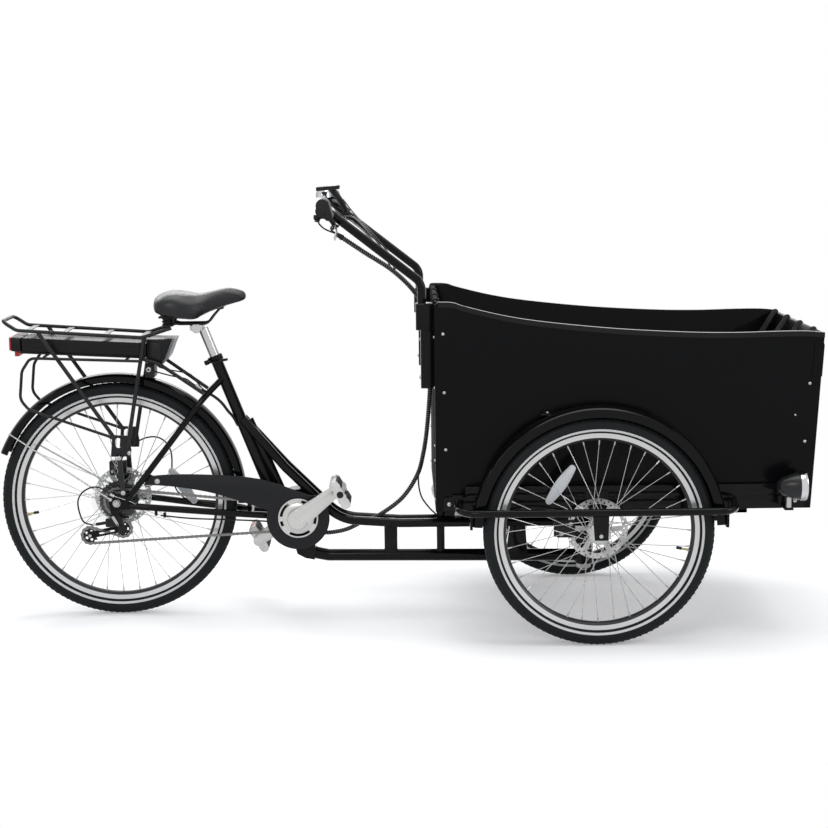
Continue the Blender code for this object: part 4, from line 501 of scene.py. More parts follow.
def rod(start, end, radius, sides=20, end_radius=None, edge=0.0005):
    """A round bar with eased ends, or a cone."""
    start, end = Vector(start), Vector(end)
    length = (end - start).length
    last = end_radius or radius
    ease = min(edge, radius / 3, last / 3, length / 3)
    profile = [(0, 0), (radius - ease, 0), (radius, ease), (last, length - ease), (last - ease, length),
               (0, length)]
    return turned(profile, start, end - start, sides, ring=False)


def ring_on(centre, axis, inner, outer, half, sides=32, edge=0.0006):
    """A collar or washer round an axis."""
    ease = min(edge, half / 2, (outer - inner) / 3)
    profile = [(inner, -half), (inner, half), (outer - ease, half), (outer, half - ease),
               (outer, ease - half), (outer - ease, -half)]
    return turned(profile, centre, axis, sides)


def across(point, half, radius, sides=20):
    reach = Vector((0, half, 0))
    return rod(point - reach, point + reach, radius, sides)


def pin(point, y1, y2, radius, sides=20, **easing):
    """A rod across the machine, from one y to another."""
    return rod(at_y(point, y1), at_y(point, y2), radius, sides, **easing)


def swept(points, radius, sides=14, squash=1.0, up=None):
    """A tube along points, round or flattened, mapped in metres. The radius may be a list, one for
    each point."""
    points = [Vector(point) for point in points]
    radii = radius if isinstance(radius, list) else [radius] * len(points)
    tangents = [(after - before).normalized()
                for before, after in zip([points[0], *points], [*points[1:], points[-1]])]
    side = Vector(up) if up else tangents[0].orthogonal()
    side = (side - tangents[0] * side.dot(tangents[0])).normalized()
    bm = bmesh.new()
    uv = bm.loops.layers.uv.new("UVMap")
    rings, travelled = [], [0.0]
    for index, (point, tangent) in enumerate(zip(points, tangents)):
        if index:
            side = tangents[index - 1].rotation_difference(tangent) @ side
            travelled.append(travelled[-1] + (point - points[index - 1]).length)
        other = tangent.cross(side)
        rings.append([bm.verts.new(point + (side * cos(a) + other * sin(a) * squash) * radii[index])
                      for a in (2 * pi * s / sides for s in range(sides))])
    for index, (first, second) in enumerate(zip(rings, rings[1:])):
        u1, u2 = travelled[index], travelled[index + 1]
        for s in range(sides):
            t = (s + 1) % sides
            v1, v2 = (step * 2 * pi * radii[index] / sides for step in (s, s + 1))
            face = bm.faces.new((first[s], first[t], second[t], second[s]))
            for loop, place in zip(face.loops, ((u1, v1), (u1, v2), (u2, v2), (u2, v1))):
                loop[uv].uv = place
    bm.faces.new(rings[0])
    bm.faces.new(rings[-1])
    return mesh_of(bm)


def bent(corners, bend_radius, steps=8):
    """The corner points of a tube, with an arc of the given radius at each inner one."""
    corners = [Vector(corner) for corner in corners]
    path = [corners[0]]
    for before, corner, after in zip(corners, corners[1:], corners[2:]):
        back, on = (before - corner).normalized(), (after - corner).normalized()
        half_angle = back.angle(on) / 2
        if half_angle > radians(89):
            continue
        reach = bend_radius / sin(half_angle) * cos(half_angle)
        reach = min(reach, 0.45 * (before - corner).length, 0.45 * (after - corner).length)
        radius = reach * sin(half_angle) / cos(half_angle)
        centre = corner + (back + on).normalized() * (radius / sin(half_angle))
        first, last = corner + back * reach - centre, corner + on * reach - centre
        path += [centre + first.slerp(last, step / steps) * first.length for step in range(steps + 1)]
    return path + [corners[-1]]


def smooth(points, steps=6):
    """A smooth curve through the points."""
    points = [Vector(point) for point in points]
    padded = [2 * points[0] - points[1], *points, 2 * points[-1] - points[-2]]
    path = []
    for a, b, c, d in zip(padded, padded[1:], padded[2:], padded[3:]):
        for step in range(steps):
            t = step / steps
            path.append(0.5 * (2 * b + (c - a) * t + (2 * a - 5 * b + 4 * c - d) * t**2
                               + (3 * b - a - 3 * c + d) * t**3))
    return path + [points[-1]]


PLANES = {
    "XZ": (Matrix(((1, 0, 0, 0), (0, 0, 1, 0), (0, 1, 0, 0), (0, 0, 0, 1))), Vector(ACROSS)),
    "XY": (Matrix.Identity(4), Vector(UPRIGHT)),
}


def plate(outline, low, high, plane="XZ", holes=(), edge=0.0):
    """A flat piece between two depths across its plane, its edges eased."""
    curve = bpy.data.curves.new("outline", "CURVE")
    curve.dimensions = "2D"
    curve.fill_mode = "BOTH"
    curve.extrude = (high - low) / 2
    for loop in (outline, *holes):
        spline = curve.splines.new("POLY")
        spline.points.add(len(loop) - 1)
        for knot, point in zip(spline.points, loop):
            knot.co = (point[0], point[1], 0, 1)
        spline.use_cyclic_u = True
    turn, normal = PLANES[plane]
    bm = bmesh.new()
    bm.from_mesh(moved(evaluated(curve), Matrix.Translation(normal * (low + high) / 2) @ turn))
    mesh = mesh_of(bm)
    return rounded(mesh, edge) if edge else mesh


def sheet(outline, middle, half, holes=(), edge=0.0):
    """A plate that faces sideways, by its middle's y and half its thickness."""
    return plate(outline, middle - half, middle + half, holes=holes, edge=edge)


def block(low, high, edge=0.001):
    low, high = Vector(low), Vector(high)
    bm = bmesh.new()
    bmesh.ops.create_cube(bm, size=1)
    shape = Matrix.Translation((low + high) / 2) @ Matrix.Diagonal((*(high - low), 1))
    bmesh.ops.transform(bm, matrix=shape, verts=bm.verts)
    if edge:
        bmesh.ops.bevel(bm, geom=list(bm.edges), offset=edge, segments=2, affect="EDGES", profile=0.5)
    return mesh_of(bm)


def merged(meshes):
    """Several meshes as one, to be a unit."""
    bm = bmesh.new()
    for mesh in meshes:
        bm.from_mesh(mesh)
    return plain_mesh(bm, "unit")


def on_circle(centre, radius, degree):
    angle = radians(degree)
    return (centre[0] + radius * cos(angle), centre[1] + radius * sin(angle))


def arc(centre, radius, start, end, steps):
    return [on_circle(centre, radius, start + (end - start) * step / steps) for step in range(steps + 1)]


def circle(centre, radius, sides):
    return arc(centre, radius, 0, 360 * (sides - 1) / sides, sides - 1)


def hull_outline(start, start_radius, end, end_radius, steps=14):
    """The outline round two circles."""
    along = Vector(end) - Vector(start)
    heading = degrees(atan2(along.y, along.x))
    spread = degrees(acos((start_radius - end_radius) / along.length))
    outline = arc(end, end_radius, heading - spread, heading + spread, steps)
    return outline + arc(start, start_radius, heading + spread, heading + 360 - spread, steps)


def carried_over(name, edge):
    """A CAD node's own shape, merged, with its edges eased."""
    bm = bmesh.new()
    bm.from_mesh(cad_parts[name].data)
    bmesh.ops.remove_doubles(bm, verts=bm.verts, dist=0.00001)
    bmesh.ops.dissolve_limit(bm, angle_limit=radians(0.5), verts=bm.verts, edges=bm.edges)
    return rounded(plain_mesh(bm), edge)


# Trees that repeat a unit

def repeat_tree(build, *inputs):
    """A tree that places its Unit on points, ends in Realize Instances and Set Material, and takes
    named sizes."""
    sockets = [("Geometry", "Geometry"), ("Unit", "Object"), ("Finish", "Material"), *inputs]
    tree, given, result = node_group(build.__name__, "GeometryNodeTree", sockets, [("Geometry", "Geometry")])
    unit = node(tree, "GeometryNodeObjectInfo", {"Object": given["Unit"]}).outputs["Geometry"]
    placed = node(tree, "GeometryNodeInstanceOnPoints", {"Instance": unit, **build(tree, given)})
    solid = node(tree, "GeometryNodeRealizeInstances", {"Geometry": placed.outputs["Instances"]})
    inputs = {"Geometry": solid.outputs["Geometry"], "Material": given["Finish"]}
    coated = node(tree, "GeometryNodeSetMaterial", inputs).outputs["Geometry"]
    tree.links.new(coated, result.inputs["Geometry"])
    return tree


def round_the_axle(tree, given):
    cloud = node(tree, "GeometryNodePoints", {"Count": given["Copies"], "Position": given["Centre"]})
    index = node(tree, "GeometryNodeInputIndex").outputs["Index"]
    angle = calculated(tree, "MULTIPLY", index, calculated(tree, "DIVIDE", 2 * pi, given["Copies"]))
    turn = node(tree, "FunctionNodeAxisAngleToRotation", {"Axis": given["Axis"], "Angle": angle})
    return {"Points": cloud.outputs["Geometry"], "Rotation": turn.outputs["Rotation"]}


def along_a_path(tree, given):
    line = node(tree, "GeometryNodeMeshToCurve", {"Mesh": given["Geometry"]}).outputs["Curve"]
    even = node(tree, "GeometryNodeResampleCurve", {"Curve": line, "Count": given["Copies"]})
    tangent = node(tree, "GeometryNodeInputTangent").outputs["Tangent"]
    turn = node(tree, "FunctionNodeAlignRotationToVector", {"Vector": tangent}, axis="X", pivot_axis="AUTO")
    index = node(tree, "GeometryNodeInputIndex").outputs["Index"]
    rest = calculated(tree, "MODULO", index, given["Every"])
    chosen = node(tree, "FunctionNodeCompare", {"A": rest, "B": given["First"], "Epsilon": 0.1},
                  operation="EQUAL", data_type="FLOAT")
    return {"Points": even.outputs["Curve"], "Selection": chosen.outputs["Result"],
            "Rotation": turn.outputs["Rotation"]}


def at_places(tree, given):
    facing = node(tree, "GeometryNodeInputNamedAttribute", {"Name": "facing"}, data_type="FLOAT_VECTOR")
    way = facing.outputs["Attribute"]
    turn = node(tree, "FunctionNodeAlignRotationToVector", {"Vector": way}, axis="Z")
    return {"Points": given["Geometry"], "Rotation": turn.outputs["Rotation"], "Scale": given["Size"]}


AXLE_RING = repeat_tree(round_the_axle, ("Copies", "Int", 9), ("Centre", "Vector"), ("Axis", "Vector"))
PATH_ROW = repeat_tree(along_a_path, ("Copies", "Int", 9), ("Every", "Float", 1.0), ("First", "Float", 0.0))
PLACES = repeat_tree(at_places, ("Size", "Float", 1.0))


def repeated(tree, unit, look, carrier=None, **sizes):
    """The tree's result on a carrier mesh, as a plain mesh with its finish."""
    sample = bpy.data.objects.new("unit", unit)
    scene.collection.objects.link(sample)

    def grow(obj):
        modifier = obj.modifiers.new(tree.name, "NODES")
        modifier.node_group = tree
        values = {"Unit": sample, "Finish": look, **sizes}
        for item in tree.interface.items_tree:
            if item.in_out == "INPUT" and item.name in values:
                modifier[item.identifier] = values[item.name]
    made = evaluated(carrier or bpy.data.meshes.new("carrier"), grow)
    bpy.data.objects.remove(sample)
    return made, look


def ringed(unit, look, copies, centre):
    """Copies of a unit round an axle."""
    return repeated(AXLE_RING, unit, look, Copies=copies, Centre=tuple(centre), Axis=ACROSS)


def strung(points, unit, look, copies, every=1, first=0, closed=False):
    """Copies of a unit along a path, or every second one of them."""
    mesh = bpy.data.meshes.new("path")
    edges = [(i, i + 1) for i in range(len(points) - 1)] + ([(len(points) - 1, 0)] if closed else [])
    mesh.from_pydata([tuple(point) for point in points], edges, [])
    return repeated(PATH_ROW, unit, look, mesh, Copies=copies, Every=float(every), First=float(first))


def bolts(places, way, size=1.0):
    """Zinc bolt heads with washers, all facing one way, 6 mm bolts at size 1."""
    mesh = bpy.data.meshes.new("places")
    mesh.from_pydata([tuple(place) for place in places], [], [])
    for item in mesh.attributes.new("facing", "FLOAT_VECTOR", "POINT").data:
        item.vector = way
    profile = [(0, 0), (0.0064, 0), (0.0064, 0.0009), (0.0052, 0.0012), (0.005, 0.0030), (0.0036, 0.0042),
               (0.0020, 0.0044), (0.0018, 0.0026), (0, 0.0026)]
    head = turned(profile, (0, 0, -0.0003), UPRIGHT, 10, ring=False)
    return repeated(PLACES, head, ZINC, mesh, Size=size)


# Pieces

def dressed(look, *meshes):
    """Meshes that share a finish, as parts of a piece."""
    return [(mesh, look) for mesh in meshes]


def sided(parts, side):
    """Parts drawn for the left side, put on the side asked for."""
    return [(for_side(mesh, side), look) for mesh, look in parts]


def piece(name, parts, body, slot, *replaced, sharp=38):
    """Joins (mesh, finish) parts into one finished piece that rides on a body."""
    bm = bmesh.new()
    materials = []
    for mesh, finishes in parts:
        finishes = finishes if isinstance(finishes, tuple) else (finishes,)
        materials += [item for item in finishes if item not in materials]
        places = [materials.index(item) for item in finishes]
        first = len(bm.faces)
        bm.from_mesh(mesh)
        bm.faces.ensure_lookup_table()
        for face in bm.faces[first:]:
            face.material_index = places[min(face.material_index, len(places) - 1)]
            face.smooth = True
    mesh = plain_mesh(bm, name)
    for material in materials:
        mesh.materials.append(material)
    mesh.set_sharp_from_angle(angle=radians(sharp))
    obj = bpy.data.objects.new(name, mesh)
    scene.collection.objects.link(obj)
    if replaced:
        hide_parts(*replaced)
    if body:
        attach(obj, body)
    return obj


# Wheels

def tyre_shape(radius, rim_radius, centre):
    """A round tyre with a line round each wall and a shallow block tread."""
    bead = ((0.0003, 0.0118), (0.0012, 0.0140), (0.0030, 0.0164), (0.0056, 0.0187), (0.0116, 0.0215),
            (0.0165, 0.0224), (0.0215, 0.0225))
    shoulder = ((0.0125, 0.0216), (0.0086, 0.0194), (0.0052, 0.0160), (0.0028, 0.0118), (0.0013, 0.0060))
    side = [(rim_radius + up, y) for up, y in bead] + [(radius - down, y) for down, y in shoulder]
    profile = side + [(radius - 0.0009, 0)] + [(r, -y) for r, y in reversed(side)]
    stripe = 3
    carcass = turned(profile, centre, sides=128, bands={stripe: 1, len(profile) - 2 - stripe: 1})
    blocks = []
    for y, tilt, skew, down, width, length in ((0, 0, 0, 0, 0.0050, 0.0120),
                                               (0.0086, 0.30, 0.35, 0.0010, 0.0060, 0.0125),
                                               (0.0150, 0.85, 0.55, 0.0040, 0.0050, 0.0110)):
        for way in (1, -1) if y else (1,):
            slab = block((-0.0010, -width / 2, -length / 2), (0.0008, width / 2, length / 2), 0)
            place = Matrix.Translation((radius - 0.0012 - down, way * y, 0.0035 * way if y else 0))
            turn = Matrix.Rotation(way * tilt, 4, "Z") @ Matrix.Rotation(way * skew, 4, "X")
            blocks.append(moved(slab, place @ turn))
    tread_pitch = 0.0165
    copies = round(2 * pi * radius / tread_pitch)
    return [(carcass, (TYRE_RUBBER, TYRE_STRIPE)), ringed(merged(blocks), TYRE_RUBBER, copies, centre)]


def rim_parts(rim_radius, centre, valve_angle):
    """A machined band on each wall, a dark inner wall, the tyre's channel and the valve."""
    side = [(rim_radius - down, y) for down, y in (
        (0.0080, 0.0060), (0.0060, 0.0095), (0.0005, 0.0108), (0, 0.0125), (0.0121, 0.0125), (0.0127, 0.0119),
        (0.0175, 0.0086), (0.0201, 0.0048))]
    profile = [(r, -y) for r, y in reversed(side)] + side
    walls = (3, 11)
    bands = {index: 0 if index in walls else 1 for index in range(len(profile))}
    rim = turned(profile, centre, sides=128, bands=bands)
    way = polar(1, radians(valve_angle))
    foot = centre + way * (rim_radius - 0.0195)
    return [(rim, (RIM_BAND, RIM_DARK)), (rod(foot, foot - way * 0.024, 0.0028, 12), BRASS),
            (rod(foot - way * 0.020, foot - way * 0.034, 0.0040, 12), BLACK_PLASTIC),
            (rod(foot, foot - way * 0.0025, 0.0050, 6), ZINC)]


def spoke_fan(rim_radius, flanges, centre):
    """Crossed spokes with elbows in the flanges and nipples at the rim, drawn four at a time."""
    wires, nipples = [], []
    for index in range(4):
        toward, flange = (1, flanges[0]) if index % 2 else (-1, flanges[1])
        lean = 1 if index % 4 < 2 else -1
        rim_angle = 2 * pi * index / SPOKES
        start = polar(0.0262, rim_angle + lean * radians(60)) + Vector((0, flange + lean * 0.0016, 0))
        end = polar(rim_radius - 0.0196, rim_angle) + Vector((0, toward * 0.003 + lean * 0.0011, 0))
        along = (end - start).normalized()
        wires.append(swept([start - along * 0.001, start, end], 0.0010, 6))
        wires.append(pin(start, flange - 0.0032, flange + 0.0032, 0.0016, 6, edge=0.0002))
        nipples.append(rod(end - along * 0.012, end, 0.0019, 8, 0.0023, 0.0002))
    return [ringed(merged(wires), SPOKE_STEEL, SPOKES // 4, centre),
            ringed(merged(nipples), ZINC, SPOKES // 4, centre)]


def hub_shape(ends, flanges, barrel, centre):
    """A turned hub from its left and right ends and flanges."""
    flange, boss, bore = 0.029, 0.0105, 0.0063
    rows = ((boss + 0.002, 0.0050), (boss + 0.005, 0.0030), (flange - 0.0015, 0.0020), (flange, 0.0008),
            (flange, -0.0008), (flange - 0.0015, -0.0020), (barrel + 0.004, -0.0032), (barrel, -0.0075))
    left_end, right_end = ends
    profile = [(bore, right_end), (bore, left_end), (boss - 0.001, left_end), (boss, left_end - 0.001)]
    profile += [(r, flanges[0] + out) for r, out in rows]
    profile += [(r, flanges[1] - out) for r, out in reversed(rows)]
    profile += [(boss, right_end + 0.001), (boss - 0.001, right_end)]
    return turned(profile, centre, sides=40)


def disc_parts(centre, y, screws_y, out):
    """A brake disc: drilled band, six slanted arms and its carrier ring, with screws that face out."""
    middle = flat(centre)
    holes = [circle(middle, 0.0110, 20)]
    for arm in range(6):
        start = 60 * arm + 6
        inner = arc(middle, 0.0265, start + 38, start + 2, 4)
        holes.append(arc(middle, 0.0655, start, start + 47, 8) + inner)
    for step in range(24):
        for row, radius in enumerate((0.0698, 0.0762)):
            holes.append(circle(on_circle(middle, radius, 15 * step + 7.5 * row), 0.0026, 8))
    disc = sheet(circle(middle, 0.080, 72), y, 0.0009, holes)
    screw = rod((0.0175, 0, 0), (0.0175, out * 0.0028, 0), 0.0028, 8)
    return [(disc, DISC_STEEL), ringed(screw, ZINC, 6, at_y(centre, screws_y))]


def leaf(length, width, end):
    """A leaf's outline: widest in the middle, round at both ends."""
    reach, swell = (length - end) / 2, (width - end) / 2
    blade = [(reach * step / 8, end / 2 + swell * cos(pi / 2 * step / 8)) for step in range(-8, 9)]
    upper = arc((-reach, 0), end / 2, 180, 90, 5)[:-1] + blade + arc((reach, 0), end / 2, 90, 0, 5)[1:]
    return upper + [(u, -v) for u, v in reversed(upper[1:-1])]


def spoke_reflector(centre, radius, angle, tilt, y):
    """A moulded clear reflector clipped between the spokes, its places in degrees."""
    outline = leaf(0.121, 0.030, 0.018)
    shell = sheet(outline, y, 0.004, edge=0.0015)
    lens = sheet([(u * 0.88, v * 0.74) for u, v in outline], y, 0.0052, edge=0.0006)
    place = Matrix.Translation(at_y(centre, 0) + polar(radius, radians(angle)))
    turn = place @ Matrix.Rotation(-radians(angle + 90 + tilt), 4, "Y")
    return dressed(CLEAR_REFLECTOR, moved(shell, turn), moved(lens, turn))


def make_rear_wheel():
    body, flanges = "wheel_rear", (0.034, -0.0205)
    piece("rear_tyre", tyre_shape(REAR_TYRE, REAR_RIM, REAR_AXLE), body, "tyre", "tyre_rear")
    piece("rear_rim", rim_parts(REAR_RIM, REAR_AXLE, 189), body, "alloy", "rim_rear")
    parts = [(hub_shape((0.066, -0.0245), flanges, 0.018, REAR_AXLE), HUB_ALLOY)]
    parts += spoke_fan(REAR_RIM, flanges, REAR_AXLE) + spoke_reflector(REAR_AXLE, 0.178, 10.9, 25, 0)
    piece("rear_hub", parts, body, "alloy", "hub_rear")
    guard = [(0.020, -0.0232), (0.020, -0.0222), (0.0770, -0.0222), (0.0770, -0.0232)]
    piece("spoke_protector", [(turned(guard, REAR_AXLE, sides=48), CLEAR_DISC)], body, "black_plastic")
    piece("rear_rotor", disc_parts(REAR_AXLE, 0.050, 0.0510, 1), body, "steel", "rotor_rear")


def make_front_wheel(side):
    name = SIDE_NAMES[side]
    centre, flanges = at(0, FRONT_TYRE, TRACK_HALF), (0.030, -0.0235)

    def mine(kind, parts, slot):
        cad = kind + "_front_" + name
        piece("front_" + kind + "_" + name, sided(parts, side), "wheel_front_" + name, slot, cad)
    mine("tyre", tyre_shape(FRONT_TYRE, FRONT_RIM, centre), "tyre")
    mine("rim", rim_parts(FRONT_RIM, centre, -12.5), "alloy")
    parts = [(hub_shape((0.0455, -0.0455), flanges, 0.0155, centre), HUB_ALLOY)]
    parts += spoke_fan(FRONT_RIM, flanges, centre)
    mine("hub", parts + spoke_reflector(centre, 0.161, 128.4, 16.6, TRACK_HALF + 0.008), "alloy")
    mine("rotor", disc_parts(centre, TRACK_HALF - 0.0354, TRACK_HALF - 0.0363, -1), "steel")


# Frame

DROPOUT_Y = 0.070
FENDER_RADIUS = 0.3538


def nut(point, way, depth, look):
    """An axle nut with its flange and the end of the thread, facing way along the axle."""
    reach, size = Vector((0, way, 0)), 0.0098
    return [(rod(point, point + reach * 0.0018, size * 1.12, 24), look),
            (rod(point + reach * 0.0012, point + reach * depth, size, 6, edge=0.001), look),
            (rod(point + reach * 0.001, point + reach * (depth + 0.004), 0.0052, 14), ZINC)]


def frame_middle():
    """The seat tube with its second tube, the crank shell, the lower tube and the head tube."""
    shell = [(0.0706, -0.0290), (0.0706, 0.0290), (0.0725, 0.030), (0.0755, 0.030), (0.0765, 0.0290),
             (0.0765, -0.0290), (0.0755, -0.030), (0.0725, -0.030)]
    seat_tube = [(0.0138, -0.452), (0.0138, 0.007), (0.0150, 0.007), (0.016, 0.006), (0.016, -0.452)]
    lower = [near_crank(0.010, -0.072), near_crank(0.034, -0.108), near_crank(0.080, -0.117), at(0, 0.150)]
    skid = [(-0.020, -0.065), (-0.014, -0.078), (-0.006, -0.108), (0.016, -0.120), (0.043, -0.125),
            (0.047, -0.100), (0.040, -0.055)]
    head = [(0.0126, 0.128), (0.0126, 0.275), (0.0245, 0.275), (0.026, 0.2735), (0.026, 0.1295),
            (0.0245, 0.128)]
    return [turned(shell, CRANK, sides=72), turned(seat_tube, SEAT_TOP, SEAT_AXIS, 32),
            rod(seat_point(0.190, 0.020), seat_point(0.440, 0.029), 0.013, 28),
            swept(bent(lower, 0.06, 10), 0.017, 28), sheet(drawn(near_crank, skid), 0, 0.026, edge=0.002),
            turned(head, (STEER_X, 0, 0), UPRIGHT, 40)]


def frame_uprights(stop):
    """What joins the twin tubes to the lower tube, and the steering's stop block."""
    web = ((-0.222, 0.150), (-0.158, 0.150), (-0.166, 0.257), (-0.206, 0.257))
    return [block(at(-0.559, 0.150, -0.014), at(-0.522, 0.257, 0.014), 0.004),
            block(at(-0.551, 0.251, -0.026), at(-0.528, 0.261, 0.026), 0.002),
            sheet(drawn(at, web), 0, 0.026, edge=0.003),
            rod(at(-0.401, 0.150), at(-0.401, 0.318), 0.0115, 24),
            rod(at(-0.401, 0.314), at(-0.401, 0.3327), 0.016, 32, edge=0.0015),
            across(stop, 0.013, 0.036, 48), block(at(-0.372, 0.250, -0.028), at(-0.338, 0.266, 0.028), 0.002)]


def twin_tube(side):
    """One of the two tubes that run down and forward from the seat tube."""
    y = side * 0.027
    route = [seat_point(0.182, 0.006, side * 0.012), (-0.315, y, 0.4135), (-0.165, y, 0.264), (0, y, 0.2525),
             at(-0.060, 0.2520, y), at(-0.006, 0.2520, side * 0.018)]
    return swept(bent(route, 0.12, 10), 0.0125, 24)


def frame_side(side):
    """A chain stay, a seat stay and a dropout, drawn for the left. The right one has a hanger."""
    stay = [near_axle(0.036, -0.008, DROPOUT_Y), near_axle(0.100, -0.014, 0.066),
            near_axle(0.220, -0.0275, 0.0500), near_axle(0.340, -0.040, 0.0380),
            near_crank(-0.073, 0.002, 0.0235)]
    upper = [near_axle(0.026, 0.004, DROPOUT_Y), near_axle(0.180, 0.203, 0.0540),
             near_axle(0.236, 0.276, 0.0470), seat_point(0.056, 0.0, 0.008)]
    outline = [(-0.020, -0.010), (-0.012, -0.016), (0.010, -0.018), (0.046, -0.018), (0.050, 0.000),
               (0.034, 0.022), (0.014, 0.034), (-0.012, 0.032), (-0.022, 0.012)]
    if side == RIGHT:
        hanger = [(-0.016, -0.036), (0.000, -0.036)]
        outline[1:2] = hanger
    dropout = sheet(drawn(near_axle, outline), DROPOUT_Y, 0.0025, edge=0.0012)
    return [swept(smooth(stay), 0.0095, 22), swept(smooth(upper), 0.0085, 22), dropout]


def rear_triangle():
    """The bridges between the stays, the chain guard's tab and the caliper's mount."""
    tab = ((0.062, 0.058), (0.080, 0.082), (0.118, 0.066), (0.116, 0.050), (0.100, 0.048))
    mount = ((-0.012, 0.024), (0.014, 0.024), (0.012, 0.096), (-0.034, 0.096), (-0.034, 0.084))
    to_fender = Vector((0.236, 0.276)).normalized() * FENDER_RADIUS
    return [rod(near_axle(0.236, 0.276, -0.047), near_axle(0.236, 0.276, 0.047), 0.006),
            rod(near_axle(0.236, 0.276), near_axle(*to_fender), 0.005),
            rod(near_axle(0.366, -0.041, -0.036), near_axle(0.366, -0.041, 0.036), 0.007),
            block(near_axle(FENDER_RADIUS, -0.043, -0.012), near_axle(0.366, 0.004, 0.012), 0.001),
            plate(drawn(near_axle, tab), -0.0542, -0.0502, edge=0.0008),
            pin(near_axle(0.074, 0.070), -0.0502, -0.066, 0.005),
            plate(drawn(near_axle, mount), 0.0675, 0.070, edge=0.0006)]


def make_frame():
    stop = at(-0.355, 0.272)
    paint = frame_middle() + frame_uprights(stop) + rear_triangle()
    parts = [(across(REAR_AXLE, 0.084, 0.0056, 16), ZINC),
             (pin(REAR_AXLE, -0.0535, -DROPOUT_Y, 0.0095), COG_STEEL)]
    for side in (RIGHT, LEFT):
        paint += [twin_tube(side), *[for_side(mesh, side) for mesh in frame_side(side)]]
        parts += nut(at_y(REAR_AXLE, side * 0.0727), side, 0.0095, ZINC)
    parts.append(bolts([stop + Vector((x, -0.0130, z)) for x, z in ((0.001, 0.021), (0.003, 0.000))],
                       (0, -1, 0), 1.6))
    piece("frame_tubes", dressed(FRAME_PAINT, *paint) + parts, "root", "frame_paint", "frame")


# Drive

SPROCKET_TEETH, PULLEY_TEETH, CHAIN_COG = 17, 11, 18


def chain_line():
    """The chain's pitch line round the sprocket, the cog and the two pulleys."""
    stations = [(flat(place), pitch_radius(teeth), turn) for place, teeth, turn in (
        (CRANK, SPROCKET_TEETH, -1), (TENSION_PULLEY, PULLEY_TEETH, -1), (GUIDE_PULLEY, PULLEY_TEETH, 1),
        (REAR_AXLE, CHAIN_COG, -1))]
    headings = []
    for (c1, r1, d1), (c2, r2, d2) in zip(stations, stations[1:] + stations[:1]):
        run = Vector(c2) - Vector(c1)
        headings.append(atan2(run.y, run.x) + asin((d1 * r1 - d2 * r2) / run.length))
    line = []
    for index, (centre, radius, turn) in enumerate(stations):
        arrive, leave = headings[index - 1], headings[index]
        sweep = (leave - arrive) * turn % (2 * pi)
        steps = max(2, ceil(sweep / radians(6)))
        for step in range(steps + 1):
            angle = arrive + turn * sweep * step / steps - turn * pi / 2
            line.append(Vector((centre[0], CHAIN_Y, centre[1])) + polar(radius, angle))
    return line


def chain_link(gap, pin_reach, pin_radius, pin_sides):
    """A pair of waisted side plates one pitch long with their two pins or rollers."""
    half, waist, half_wall = CHAIN_PITCH / 2, 0.0029, 0.0004
    outline = arc((half, 0), 0.0041, -70, 70, 6) + [(0, waist)]
    outline += [(-x, -z) for x, z in outline]
    made = [sheet(outline, y, half_wall) for y in (gap, -gap)]
    made += [rod((x, -pin_reach, 0), (x, pin_reach, 0), pin_radius, pin_sides, edge=0.0002)
             for x in (-half, half)]
    return merged(made)


def make_chain():
    line = chain_line()
    length = sum((a - b).length for a, b in zip(line, line[1:] + line[:1]))
    links = 2 * round(length / CHAIN_PITCH / 2)
    outer, inner = chain_link(0.0027, 0.0037, 0.0018, 8), chain_link(0.0018, 0.0018, 0.0038, 10)
    parts = [strung(line, link, CHAIN_STEEL, links, 2, first, closed=True)
             for first, link in enumerate((outer, inner))]
    piece("drive_chain", parts, "root", "steel", "chain")


def toothed(teeth, outer, root, place):
    """A sprocket's outline round a place."""
    step = 360 / teeth
    corners = ((root, -0.5), (root, -0.28), (outer, -0.10), (outer, 0.10), (root, 0.28))
    return [on_circle(flat(place), radius, 360 * tooth / teeth + offset * step)
            for tooth in range(teeth) for radius, offset in corners]


def make_cassette():
    parts, middle = [], flat(REAR_AXLE)
    cogs = {28: -0.0265, 24: -0.0310, 22: -0.0353, 20: -0.0395, 18: -0.0450, 16: -0.0495}
    for teeth, y in cogs.items():
        outer = min(pitch_radius(teeth) + 0.0018, 0.0564)
        holes = [circle(middle, 0.016, 20)]
        if teeth > 20:
            reach = 0.5 * (outer + 0.014)
            holes += [circle(on_circle(middle, reach, 60 * k), 0.0045, 10) for k in range(6)]
        if teeth == CHAIN_COG:
            outer = pitch_radius(teeth) + 0.0004
        outline = toothed(teeth, outer, pitch_radius(teeth) - 0.0036, REAR_AXLE)
        parts.append((sheet(outline, y, 0.0009, holes), COG_STEEL))
    body = [(0.0064, -0.0252), (0.018, -0.0252), (0.018, -0.0520), (0.0155, -0.0530), (0.0064, -0.0530)]
    parts.append((turned(body, REAR_AXLE, sides=36), COG_STEEL))
    piece("rear_cogs", parts, "cassette", "steel", "cassette")


